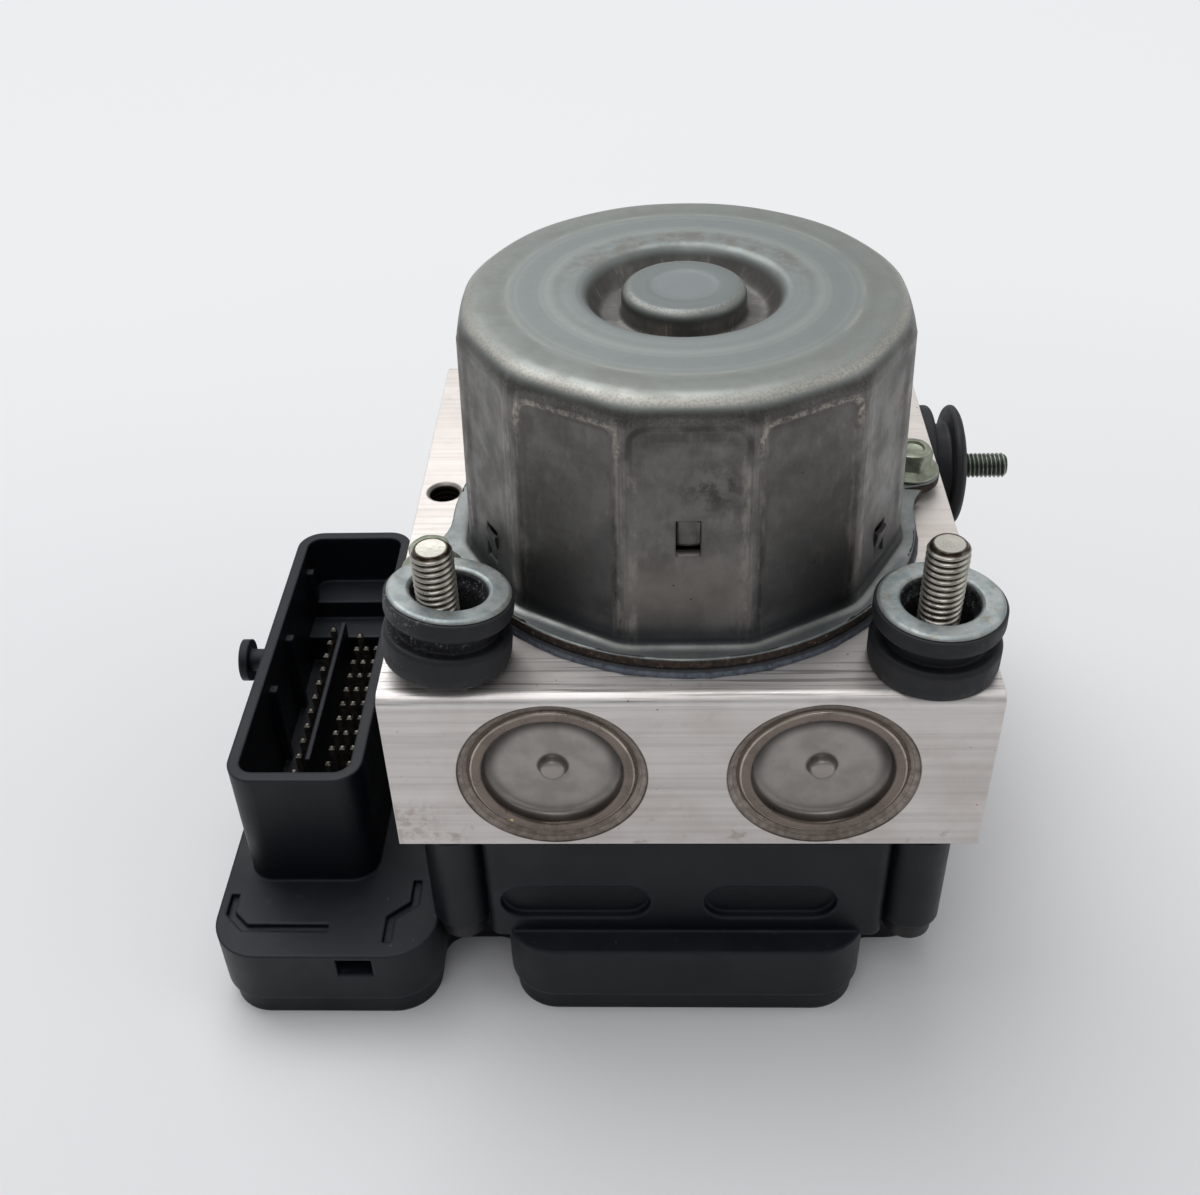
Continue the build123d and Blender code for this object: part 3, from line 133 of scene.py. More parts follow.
class ModuleSizes(bpy.types.PropertyGroup):
    """Sizes of the detailed pieces."""
    can_apothem: size_prop("Can half width", "From the motor axis to a flat side at the foot", 33.5)
    can_draft: size_prop("Can draft", "How much narrower the can is at its shoulder", 1.0)
    can_corner: size_prop("Can corner", "Rounding of the upright corners", 4.5)
    shoulder_corner: size_prop("Shoulder corner", "Extra rounding of the corners in the top edge", 18.0)
    can_shoulder: size_prop("Can shoulder", "Rounding of the top edge", 3.5)
    can_foot: size_prop("Can foot", "Rounding between wall and flange", 1.7)
    flange_radius: size_prop("Flange radius", "Outer radius of the flange", 37.0)
    flange_thickness: size_prop("Flange thickness", "Sheet thickness of the flange", 1.8)
    ear_radius: size_prop("Ear radius", "Rounding around each motor bolt", 4.9)
    ear_fillet: size_prop("Ear fillet", "Hollow rounding between ear and flange", 12.0)
    right_bolt_x: size_prop("Right bolt across", "From the axis to the right bolt, across", 38.1)
    right_bolt_y: size_prop("Right bolt along", "From the axis to the right bolt, along", 11.2)
    left_bolt_x: size_prop("Left bolt across", "From the axis to the left bolt, across", 38.6)
    left_bolt_y: size_prop("Left bolt along", "From the axis to the left bolt, along", 15.1)
    panel_recess: size_prop("Panel recess", "Depth of the pressed panels", 0.32)
    dish_depth: size_prop("Dish depth", "Depth of the hollow in the top", 4.0)
    dish_floor: size_prop("Dish floor", "Outer radius of the hollow's floor", 11.6)
    dish_blend: size_prop("Dish blend", "Radius where the rim's rounding starts", 15.8)
    knob_radius: size_prop("Knob radius", "Bearing knob in the hollow", 9.1)
    knob_face: size_prop("Knob face", "Flat face of the knob", 7.6)
    window_width: size_prop("Window width", "Lanced window", 3.65)
    window_height: size_prop("Window height", "Lanced window", 5.7)
    wall: size_prop("Can wall", "Sheet thickness of the can", 1.6)
    bead_radius: size_prop("Bead radius", "Sealing bead under the flange", 37.7)
    thread_pitch: size_prop("Thread pitch", "Pitch of the M6 studs", 1.0)
    thread_depth: size_prop("Thread depth", "Height of a thread's flank", 0.5)
    side_pitch: size_prop("Side thread pitch", "Pitch of the M5 stud", 0.8)
    edge_soft: size_prop("Plastic edge", "Softness of moulded edges", 0.75)
    block_soft: size_prop("Block edge", "Softness of machined edges", 0.22)


class ModuleColours(bpy.types.PropertyGroup):
    """Colours of the visible finishes."""
    zinc: colour_prop("Can zinc", "Grey of the can's top", tone(128, 135, 134))
    # The side's grey is darker than the top's: partly its own aged tone, partly painted shade.
    zinc_dark: colour_prop("Can side", "Aged grey of the can's side", tone(112, 110, 107))
    rust: colour_prop("Rust", "Brown of the flange edge", tone(70, 52, 40))
    sealant: colour_prop("Sealant", "Bead under the flange", tone(100, 108, 122))
    aluminium: colour_prop("Aluminium", "Extruded block", tone(222, 216, 212))
    cap: colour_prop("Cap floor", "Pressed caps", tone(168, 162, 157))
    cap_brown: colour_prop("Cap rim", "Brown bloom on the caps' rims", tone(112, 101, 93))
    washer: colour_prop("Washer", "Blue zinc", tone(174, 180, 179))
    stud: colour_prop("Stud", "Zinc coated thread", tone(190, 187, 178))
    bolt: colour_prop("Bolt", "Yellow passivated bolts", tone(150, 156, 138))
    rubber: colour_prop("Rubber", "Grommets", tone(24, 25, 29))
    plastic: colour_prop("Housing", "Control unit housing", tone(10, 13, 20))
    floor: colour_prop("Floor", "Pale table", tone(243, 243, 244))


# Node graphs

class Finish:
    """Builds one material with short calls for the shader nodes that it uses."""

    def __init__(self, name):
        self.material = bpy.data.materials.new(name)
        self.material.use_nodes = True
        self.tree = self.material.node_tree
        self.shader = self.tree.nodes["Principled BSDF"]
        self.colour = (1.0, 1.0, 1.0)
        self.place = self.node("ShaderNodeTexCoord").outputs["Object"]
        split = self.node("ShaderNodeSeparateXYZ")
        self.link(self.place, split.inputs[0])
        self.x, self.y, self.z = split.outputs

    def node(self, kind, **settings):
        """New node with its settings."""
        made = self.tree.nodes.new(kind)
        for key, value in settings.items():
            setattr(made, key, value)
        return made

    def link(self, source, target):
        """Connect an output, or set a plain value."""
        if isinstance(source, bpy.types.NodeSocket):
            self.tree.links.new(source, target)
        elif hasattr(source, "__len__"):
            values = list(source)
            if target.type == "RGBA" and len(values) == 3:
                values.append(1.0)
            target.default_value = values
        else:
            target.default_value = source

    def math(self, operation, first, second=0.0, clamp=False):
        """Math node."""
        made = self.node("ShaderNodeMath", operation=operation, use_clamp=clamp)
        self.link(first, made.inputs[0])
        self.link(second, made.inputs[1])
        return made.outputs[0]

    def plus(self, first, second, clamp=False):
        """Sum of two values."""
        return self.math("ADD", first, second, clamp)

    def less(self, value, taken):
        """Difference of two values."""
        return self.math("SUBTRACT", value, taken)

    def noise(self, size, detail=4.0, rough=0.55, stretch=None, vector=None):
        """Noise whose features are about the stated size."""
        made = self.node("ShaderNodeTexNoise")
        source = self.place if vector is None else vector
        if stretch is not None:
            scaled = self.node("ShaderNodeVectorMath", operation="MULTIPLY")
            self.link(self.place, scaled.inputs[0])
            scaled.inputs[1].default_value = stretch
            source = scaled.outputs[0]
        self.link(source, made.inputs["Vector"])
        made.inputs["Scale"].default_value = 1.0 / size
        made.inputs["Detail"].default_value = detail
        made.inputs["Roughness"].default_value = rough
        return made.outputs[0]

    def cells(self, size):
        """Distance to scattered points about the stated size apart."""
        made = self.node("ShaderNodeTexVoronoi")
        self.link(self.place, made.inputs["Vector"])
        made.inputs["Scale"].default_value = 1.0 / size
        return made.outputs["Distance"]

    def along(self, value):
        """A value as a vector, so that noise changes along it alone."""
        made = self.node("ShaderNodeCombineXYZ")
        self.link(value, made.inputs[0])
        return made.outputs[0]

    def band(self, source, start, end, low=0.0, high=1.0):
        """Smooth step of a value from start to end."""
        made = self.node("ShaderNodeMapRange", interpolation_type="SMOOTHSTEP")
        self.link(source, made.inputs["Value"])
        made.inputs["From Min"].default_value = start
        made.inputs["From Max"].default_value = end
        made.inputs["To Min"].default_value = low
        made.inputs["To Max"].default_value = high
        return made.outputs[0]

    def within(self, source, low, high, soft):
        """One between two limits and zero outside, with soft ends."""
        rise = self.band(source, low - soft, low + soft)
        fall = self.band(source, high - soft, high + soft, 1.0, 0.0)
        return self.times(rise, fall)

    def times(self, *factors):
        """Product of several values."""
        total = factors[0]
        for factor in factors[1:]:
            total = self.math("MULTIPLY", total, factor)
        return total

    def mix(self, factor, first, second):
        """Mix of two colours."""
        made = self.node("ShaderNodeMix", data_type="RGBA")
        self.link(factor, made.inputs[0])
        self.link(first, made.inputs[6])
        self.link(second, made.inputs[7])
        return made.outputs[2]

    def coat(self, colour, *shares):
        """Lay a colour over those below it, as far as the product of the shares says."""
        self.colour = self.mix(self.times(*shares), self.colour, colour)

    def distance(self, across, along):
        """Length of two offsets."""
        return self.math("SQRT", self.plus(self.times(across, across), self.times(along, along)))

    def away(self, first, first_centre, second, second_centre):
        """Distance from a place, in the plane of two coordinates."""
        return self.distance(self.less(first, first_centre), self.less(second, second_centre))

    def beside(self):
        """How far a point is to the left or right of the middle."""
        return self.math("ABSOLUTE", self.x)

    def from_cap(self):
        """Distance from the middle of the nearer accumulator cap, seen from the front."""
        cap = middle("accumulator_cap_right")
        return self.away(self.beside(), cap.x, self.z, cap.z)

    def from_stud(self):
        """Distance from the middle of the nearer upright stud, seen from above."""
        stud = middle("grommet_right")
        return self.away(self.beside(), abs(stud.x), self.y, stud.y)

    def polar(self):
        """Radius and angle around the motor axis, the angle from the front in turns."""
        along = self.less(self.y, AXIS_Y)
        angle = self.math("ARCTAN2", self.x, self.times(along, -1.0))
        return self.distance(self.x, along), self.math("DIVIDE", angle, 2 * math.pi)

    def facing_up(self):
        """Upward share of the surface's direction."""
        up = self.node("ShaderNodeSeparateXYZ")
        self.link(self.node("ShaderNodeNewGeometry").outputs["Normal"], up.inputs[0])
        return up.outputs[2]

    def rim(self, radius, sharp=0.06):
        """One along convex edges that a finger would wear, from the rounded normal."""
        soft = self.node("ShaderNodeBevel", samples=6)
        soft.inputs["Radius"].default_value = radius
        true = self.node("ShaderNodeNewGeometry")
        dot = self.node("ShaderNodeVectorMath", operation="DOT_PRODUCT")
        self.link(soft.outputs[0], dot.inputs[0])
        self.link(true.outputs["Normal"], dot.inputs[1])
        return self.band(dot.outputs["Value"], 1.0, 1.0 - sharp)

    def bump(self, height, distance, strength=1.0, under=None, soft_edge=None):
        """Bump from a height, over another bump or over rounded edges."""
        made = self.node("ShaderNodeBump")
        made.inputs["Strength"].default_value = strength
        made.inputs["Distance"].default_value = distance
        self.link(height, made.inputs["Height"])
        if under is not None:
            self.link(under, made.inputs["Normal"])
        elif soft_edge is not None:
            soft = self.node("ShaderNodeBevel", samples=6)
            soft.inputs["Radius"].default_value = soft_edge
            self.link(soft.outputs[0], made.inputs["Normal"])
        return made.outputs[0]

    def finish(self, roughness, metallic, normal=None, specular=0.5):
        """Connect the shader and return the material."""
        self.link(self.colour, self.shader.inputs["Base Color"])
        self.link(roughness, self.shader.inputs["Roughness"])
        self.link(metallic, self.shader.inputs["Metallic"])
        self.shader.inputs["Specular IOR Level"].default_value = specular
        if normal is not None:
            self.link(normal, self.shader.inputs["Normal"])
        return self.material


def sizes():
    """Sizes that the user set."""
    return bpy.context.scene.module_sizes


def colours():
    """Colours that the user set."""
    return bpy.context.scene.module_colours


def dress(material, *nodes):
    """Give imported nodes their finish."""
    for node in nodes:
        target = NODES[node]
        if not target.material_slots:
            target.data.materials.append(material)
        for slot in target.material_slots:
            slot.material = material


def fit(piece, node=None):
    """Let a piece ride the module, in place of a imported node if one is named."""
    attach(piece, "module")
    if node:
        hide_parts(node)


# Mesh helpers

def new_piece(name, vertices, faces, material, smooth=True):
    """Object from vertices and faces, with one finish."""
    mesh = bpy.data.meshes.new(name)
    mesh.from_pydata([tuple(v) for v in vertices], [], faces)
    mesh.update()
    if smooth:
        mesh.polygons.foreach_set("use_smooth", [True] * len(mesh.polygons))
    mesh.materials.append(material)
    piece = bpy.data.objects.new(name, mesh)
    bpy.context.scene.collection.objects.link(piece)
    return piece


def ring_faces(rows, steps, closed=False):
    """Faces between rows of points that each go once around, the last row joined to the first if closed."""
    faces = []
    for row in range(rows if closed else rows - 1):
        below = row * steps
        above = ((row + 1) % rows) * steps
        for step in range(steps):
            after = (step + 1) % steps
            faces.append((below + step, below + after, above + after, above + step))
    return faces


def around(radius, turn, height, x=0.0, y=0.0):
    """Point at a radius and angle around an upright axis."""
    return Vector((x + radius * math.cos(turn), y + radius * math.sin(turn), height))


def turns(steps):
    """Angles of equal steps once around."""
    return [2 * math.pi * step / steps for step in range(steps)]


def lathe(profile, steps, place, closed=False):
    """Vertices and faces of a profile of radius and height turned around a placed axis."""
    vertices = [place @ around(radius, turn, height) for radius, height in profile for turn in turns(steps)]
    return vertices, ring_faces(len(profile), steps, closed)


def rounded(points, radius, steps=4):
    """Closed profile with each corner replaced by a small arc."""
    count = len(points)
    result = []
    for index in range(count):
        before = Vector(points[index - 1])
        corner = Vector(points[index])
        after = Vector(points[(index + 1) % count])
        to_before = before - corner
        to_after = after - corner
        cut = min(radius, to_before.length * 0.45, to_after.length * 0.45)
        start = corner + to_before.normalized() * cut
        end = corner + to_after.normalized() * cut
        for step in range(steps + 1):
            share = step / steps
            point = (start * (1 - share) ** 2 + corner * 2 * share * (1 - share) + end * share ** 2)
            result.append((point.x, point.y))
    return result


def turned_piece(name, points, radius, place, material, steps=128, arc=4):
    """Closed ring turned from a profile with rounded corners."""
    vertices, faces = lathe(rounded(points, radius, arc), steps, place, closed=True)
    return new_piece(name, vertices, faces, material)


def along_x(x, y, z):
    """Frame whose Z axis points along +X."""
    return Matrix.Translation((x, y, z)) @ Euler((0, math.pi / 2, 0)).to_matrix().to_4x4()


def into_y(x, y, z):
    """Frame whose Z axis points along +Y."""
    return Matrix.Translation((x, y, z)) @ Euler((-math.pi / 2, 0, 0)).to_matrix().to_4x4()


# Finishes

def shade(colour, share):
    """A colour made darker or lighter by a share."""
    return [channel * share for channel in colour]


def aluminium_finish():
    """Extruded aluminium with fine lines along X, pits, stains, bright edges and a painted highlight along
    the top front edge.
    """
    f = Finish("extruded_aluminium")
    base = colours().aluminium
    soft = sizes().block_soft
    front, foot, top = BLOCK_LOW.y, BLOCK_LOW.z, BLOCK_HIGH.z
    lines = f.noise(0.0009, 3.0, 0.6, stretch=(0.018, 1.0, 1.0))
    fine = f.noise(0.00022, 2.0, 0.5, stretch=(0.012, 1.0, 1.0))
    broad = f.noise(0.006, 3.0, 0.5, stretch=(0.05, 1.0, 1.0))
    deep = f.noise(0.0005, 3.0, 0.65, stretch=(0.012, 1.0, 1.0))
    cloud = f.noise(0.012, 4.0, 0.6)
    pits = f.times(f.band(f.cells(0.0016), 0.13, 0.05), f.band(f.noise(0.007, 2.0), 0.55, 0.66))
    near_edge = f.times(f.band(f.y, front + 0.014, front + 0.006), f.band(f.z, top - 0.0022, top - 0.0012))
    f.colour = base
    f.coat(shade(base, 0.72), f.band(lines, 0.3, 0.75, 0.0, 0.55))
    # Painted highlight: a lighter strip along the block's top front edge.
    f.coat(tone(250, 247, 246), near_edge, 0.6)
    f.coat(shade(base, 0.30), near_edge, f.band(deep, 0.5, 0.62), 0.75)
    f.coat(shade(base, 1.12), f.band(broad, 0.35, 0.7, 0.0, 0.35))
    f.coat(shade(base, 0.5), f.band(fine, 0.62, 0.85, 0.0, 0.5))
    f.coat(tone(176, 160, 148), f.band(cloud, 0.42, 0.68, 0.0, 0.22))
    f.coat(tone(74, 66, 60), pits, 0.7)
    f.coat(tone(142, 112, 88), f.band(f.noise(0.0042, 5.0, 0.65), 0.58, 0.72),
           f.band(f.z, foot + 0.015, foot, 0.12, 0.45))
    f.coat(tone(150, 116, 90), f.band(f.x, -0.034, -0.0425), f.within(f.z, foot, foot + 0.009, 0.002),
           f.band(f.noise(0.0016, 5.0, 0.7), 0.45, 0.6), 0.35)
    f.coat(tone(236, 233, 230), f.rim(soft * 2.0, 0.10), 0.5)
    stake_around_caps(f, front, cloud)
    shade_and_thread_in_hole(f, top)
    height = f.plus(f.times(lines, 0.6), f.times(fine, 0.4))
    normal = f.bump(height, 0.00006, 0.55, soft_edge=soft)
    normal = f.bump(pits, -0.0001, 0.5, under=normal)
    return f.finish(f.band(lines, 0.2, 0.8, 0.36, 0.56), f.band(f.facing_up(), 0.3, 0.9, 0.55, 0.8), normal)


def stake_around_caps(f, front, cloud):
    """Brown turned ring that is staked over each cap, dark at its lip."""
    ring = f.from_cap()
    ring_tone = f.mix(f.band(f.noise(0.0014, 5.0, 0.65), 0.35, 0.65), tone(158, 146, 136), tone(120, 108, 98))
    turned = f.noise(0.00035, 3.0, 0.6, vector=f.along(ring))
    ring_tone = f.mix(f.band(turned, 0.45, 0.6, 0.0, 0.6), ring_tone, tone(86, 74, 66))
    f.coat(ring_tone, f.band(ring, STAKED_RADIUS, STAKED_RADIUS - 0.00014),
           f.band(f.y, front + 0.012, front + 0.008), 0.92)
    f.coat(tone(62, 54, 48), f.within(ring, STAKED_RADIUS - 0.00027, STAKED_RADIUS, 0.00008),
           f.band(cloud, 0.3, 0.6, 0.3, 0.9))


def shade_and_thread_in_hole(f, top):
    """Painted shade inside the bracket hole: near black with thread lines deep down, and a dull grey rim at
    its mouth.
    """
    hole = frame_mount("bracket_hole")
    bore = f.away(f.x, hole.x, f.y, hole.y)
    threads = f.math("SINE", f.times(f.z, 2 * math.pi / sizes().thread_pitch))
    # Painted shade: the bore goes nearly black, with lighter thread lines, and grey at its mouth.
    bore_tone = f.mix(f.band(threads, -0.4, 0.6), tone(16, 13, 12), tone(66, 54, 46))
    f.coat(bore_tone, f.band(bore, BRACKET_BORE, BRACKET_BORE - 0.0003),
           f.band(f.z, top - 0.0001, top - 0.0006))
    f.coat(tone(120, 112, 104), f.band(bore, BRACKET_BORE + 0.0002, BRACKET_BORE - 0.0001),
           f.band(f.z, top - 0.0008, top - 0.0001), 0.6)


class CanFinish(Finish):
    """The can's material, with the marks that its top, side and flange share."""

    def __init__(self):
        super().__init__("worn_zinc_can")
        self.radius, self.turn = self.polar()
        self.top = CAN_HIGH.z
        self.flange_top = CAN_LOW.z + sizes().flange_thickness
        self.ring_marks = self.noise(0.00045, 4.0, 0.6, vector=self.along(self.radius))
        self.mottle = self.noise(0.0048, 6.0, 0.62)
        self.patches = self.noise(0.013, 3.0, 0.55)
        self.grain = self.noise(0.00035, 3.0, 0.6)
        self.drag = self.noise(0.0018, 5.0, 0.66, stretch=(1.0, 1.0, 0.38))
        self.fine_drag = self.noise(0.0006, 4.0, 0.65, stretch=(1.0, 1.0, 0.25))
        self.flake = self.noise(0.0011, 6.0, 0.75)
        self.specks = self.times(self.band(self.cells(0.0019), 0.10, 0.04),
                                 self.band(self.noise(0.006, 3.0), 0.52, 0.62))

    def below_top(self, start, end):
        """Rises from a depth under the top face to a smaller or larger one."""
        return self.band(self.z, self.top - start, self.top - end)


def can_top(f):
    """Top face: turning marks, rubbed knob, painted shade in the hollow around it and on the hollow's back
    rim, and painted shadow on the knob's side.
    """
    zinc = colours().zinc
    broad = f.noise(0.0035, 3.0, 0.5, vector=f.along(f.radius))
    f.colour = zinc
    f.coat(shade(zinc, 0.80), f.band(f.ring_marks, 0.3, 0.7, 0.0, 0.35))
    f.coat(tone(158, 163, 158), f.band(broad, 0.4, 0.65, 0.0, 0.4))
    f.coat(tone(120, 121, 115), f.within(f.radius, 0.0257, 0.0308, 0.0012),
           f.band(f.mottle, 0.35, 0.65, 0.3, 0.7))
    f.coat(tone(122, 130, 130), f.band(f.patches, 0.5, 0.72, 0.0, 0.35))
    f.coat(tone(168, 168, 160), f.within(f.radius, 0.0254, 0.0259, 0.00025),
           f.band(f.mottle, 0.35, 0.65, 0.0, 0.4))
    # Painted shade: mottled brownish darkening of the hollow's rim, on its back half.
    f.coat(tone(106, 99, 91), f.within(f.radius, 0.0150, 0.0192, 0.0012),
           f.band(f.y, AXIS_Y - 0.004, AXIS_Y + 0.012),
           f.band(f.noise(0.0034, 5.0, 0.7), 0.40, 0.62, 0.0, 0.6))
    f.coat(tone(112, 118, 118), f.band(f.radius, 0.0088, 0.0080), f.below_top(0.002, 0.0004), 0.8)
    f.coat(tone(158, 154, 146), f.within(f.radius, 0.0078, 0.0088, 0.0003), f.band(f.grain, 0.4, 0.6),
           f.below_top(0.002, 0.0008), 0.55)
    f.coat(tone(136, 142, 143), f.band(f.radius, 0.0052, 0.0047), 0.55)
    # Painted shade down in the hollow, and painted shadow on the knob's side.
    f.coat(tone(80, 79, 76), f.within(f.radius, 0.0091, 0.0156, 0.0004), f.below_top(0.0004, 0.0022), 0.85)
    f.coat(tone(78, 76, 72), f.within(f.radius, 0.0079, 0.0096, 0.0002), f.below_top(0.0003, 0.0016), 0.8)
    return f.colour


def can_side(f):
    """Walls: mottled zinc, scraped corners, scuffed panel edges, rust specks, painted shade towards the foot
    and above the flange, and a painted reflection low on the front facet.
    """
    # Darker grey than the top: partly the side's own aged tone, partly painted shade.
    zinc = colours().zinc_dark
    low = CAN_LOW.z
    f.colour = zinc
    f.coat(shade(zinc, 0.62), f.band(f.mottle, 0.35, 0.68, 0.0, 0.75))
    f.coat(tone(138, 134, 129), f.band(f.drag, 0.52, 0.75, 0.0, 0.5))
    f.coat(tone(84, 80, 76), f.band(f.fine_drag, 0.52, 0.75, 0.0, 0.4))
    f.coat(tone(92, 92, 94), f.band(f.patches, 0.52, 0.7, 0.0, 0.45))
    # Painted shade: the wall grows darker towards its foot.
    f.coat(tone(54, 56, 60), f.band(f.z, low + 0.019, low + 0.004, 0.0, 0.72),
           f.band(f.mottle, 0.2, 0.6, 0.75, 1.0))
    facet = f.math("FRACT", f.plus(f.times(f.turn, SIDES), 0.5))
    offset = f.math("ABSOLUTE", f.less(facet, 0.5))
    f.coat(tone(156, 150, 143), f.within(offset, 0.40, 0.49, 0.02), f.band(f.drag, 0.42, 0.62), 0.5)
    f.coat(tone(50, 48, 46), f.within(offset, 0.462, 0.482, 0.01), f.band(f.drag, 0.3, 0.6), 0.4)
    scuff_and_shade_panels(f, offset)
    # Painted reflection: the front facet is lighter and browner low down.
    f.coat(tone(122, 115, 107), f.front, f.within(f.z, low + 0.006, low + 0.016, 0.004), 0.5)
    rust_spots = f.times(f.band(f.noise(0.0011, 5.0, 0.7), 0.66, 0.72), f.band(f.patches, 0.45, 0.6))
    f.coat(tone(112, 76, 54), rust_spots, 0.6)
    f.coat(tone(34, 31, 29), f.specks, 0.85)
    # Painted shade: darker over the lowest few millimetres of the wall and the foot's rounding.
    f.coat(tone(50, 52, 54), f.band(f.z, f.flange_top + 0.0040, f.flange_top + 0.0014), 0.75)
    return f.colour


def scuff_and_shade_panels(f, offset):
    """Marks along the upper edges of the three front panels: scuffs on the two outer ones, painted shadow on
    and under the middle one's edge, and a smudge on the middle one.
    """
    half_facet = 0.5 / SIDES
    facet_width = 2 * math.pi / SIDES * sizes().can_apothem
    panel_top = f.top - PANEL_DROP
    past_side = f.less(f.times(offset, facet_width), facet_width / 2 - PANEL_INSET - PANEL_CORNER)
    past_top = f.less(f.z, panel_top - PANEL_CORNER)
    corner_way = f.distance(f.math("MAXIMUM", past_side, 0.0), f.math("MAXIMUM", past_top, 0.0))
    panel_edge = f.times(f.within(corner_way, PANEL_CORNER - 0.0004, PANEL_CORNER + 0.0005, 0.00025),
                         f.band(f.z, panel_top - 0.007, panel_top - 0.0015))
    f.front = f.within(f.turn, -half_facet, half_facet, 0.001)
    beside = f.within(f.math("ABSOLUTE", f.turn), half_facet, 3 * half_facet, 0.001)
    flecks = f.band(f.noise(0.0009, 6.0, 0.8), 0.44, 0.56)
    f.coat(tone(176, 168, 158), panel_edge, beside, flecks, 0.85)
    # Painted shadow on the front panel's upper edge and in the strip under it.
    f.coat(tone(58, 56, 54), panel_edge, f.front, f.band(f.mottle, 0.3, 0.6, 0.3, 0.8))
    under_edge = f.within(corner_way, PANEL_CORNER - 0.0022, PANEL_CORNER - 0.0004, 0.0005)
    f.coat(tone(66, 64, 62), f.front, under_edge, f.band(f.z, panel_top - 0.0032, panel_top - 0.0022),
           f.band(f.drag, 0.35, 0.6, 0.1, 0.7))
    smudge = f.away(f.x, 0.0035, f.z, f.top - 0.0135)
    f.coat(tone(56, 54, 52), f.front, f.band(smudge, 0.006, 0.001),
           f.band(f.noise(0.0026, 5.0, 0.7), 0.42, 0.6), 0.75)


def can_flange(f, edge_zone):
    """Flange: light mottled zinc, its edge flaked and rusty."""
    f.colour = f.mix(f.band(f.mottle, 0.35, 0.7), tone(142, 148, 148), tone(118, 124, 125))
    f.coat(tone(156, 156, 150), f.band(f.patches, 0.5, 0.7, 0.0, 0.4))
    edge = f.mix(f.band(f.flake, 0.42, 0.6), tone(38, 32, 29), colours().rust)
    edge = f.mix(f.band(f.noise(0.0007, 5.0, 0.8), 0.58, 0.66, 0.0, 0.85), edge, tone(150, 132, 112))
    f.coat(edge, edge_zone)
    return f.colour


def can_finish():
    """Worn zinc on drawn steel: turning marks on top, mottled and scraped sides, rusty flange edge, a painted
    highlight and painted shade on the shoulder and a painted highlight line at the foot.
    """
    f = CanFinish()
    flange_top = f.flange_top
    upper = can_top(f)
    side = can_side(f)
    edge_zone = f.times(f.band(f.z, flange_top - 0.00005, flange_top - 0.0003),
                        f.band(f.radius, 0.0358, 0.0364))
    flange = can_flange(f, edge_zone)
    on_top = f.below_top(0.0026, 0.0013)
    outer = f.band(f.radius, 0.0285, 0.030)
    f.colour = f.mix(on_top, side, upper)
    # Painted highlight: a narrow light band high on the shoulder, broken up by grain.
    f.coat(tone(186, 182, 174), f.within(f.z, f.top - 0.0015, f.top - 0.0006, 0.0004), outer,
           f.band(f.grain, 0.35, 0.6, 0.35, 0.85))
    # Painted shade: a dark band on the lower part of the shoulder.
    f.coat(tone(70, 69, 66), f.within(f.z, f.top - 0.0042, f.top - 0.0022, 0.0005), outer,
           f.band(f.grain, 0.35, 0.62, 0.75, 0.35))
    f.coat(flange, f.band(f.z, flange_top + 0.0005, flange_top + 0.0001))
    # Painted highlight: a thin light line where the foot's rounding meets the flange.
    f.coat(tone(138, 136, 128), f.within(f.z, flange_top + 0.00005, flange_top + 0.0003, 0.0001),
           f.band(f.drag, 0.25, 0.5, 0.1, 0.45))
    rough = f.plus(f.band(f.mottle, 0.3, 0.7, 0.36, 0.52), f.times(edge_zone, 0.35), clamp=True)
    rough = f.plus(rough, f.times(on_top, 0.06), clamp=True)
    height = f.plus(f.times(f.ring_marks, on_top, 0.5), f.times(f.grain, 0.35))
    height = f.plus(height, f.times(f.fine_drag, 0.3))
    height = f.less(height, f.times(f.specks, 1.2))
    normal = f.bump(height, 0.00005, 0.45)
    normal = f.bump(f.times(f.flake, edge_zone), 0.0004, 0.9, under=normal)
    return f.finish(rough, f.less(0.72, f.times(edge_zone, 0.7)), normal)


def sealant_finish():
    """Blue-grey sealant with grit and painted shade along its top edge under the flange."""
    f = Finish("sealant_bead")
    base = colours().sealant
    grit = f.noise(0.0009, 5.0, 0.7)
    f.colour = base
    f.coat(shade(base, 0.5), f.band(grit, 0.4, 0.65))
    f.coat(tone(120, 128, 140), f.band(f.noise(0.0028, 3.0), 0.52, 0.7, 0.0, 0.5))
    # Painted shade: the bead's top edge, under the flange, is near black.
    f.coat(tone(30, 28, 28), f.band(f.z, GASKET_HIGH.z - 0.0005, GASKET_HIGH.z - 0.0001, 0.0, 0.85))
    return f.finish(0.62, 0.0, f.bump(grit, 0.00025, 0.8))


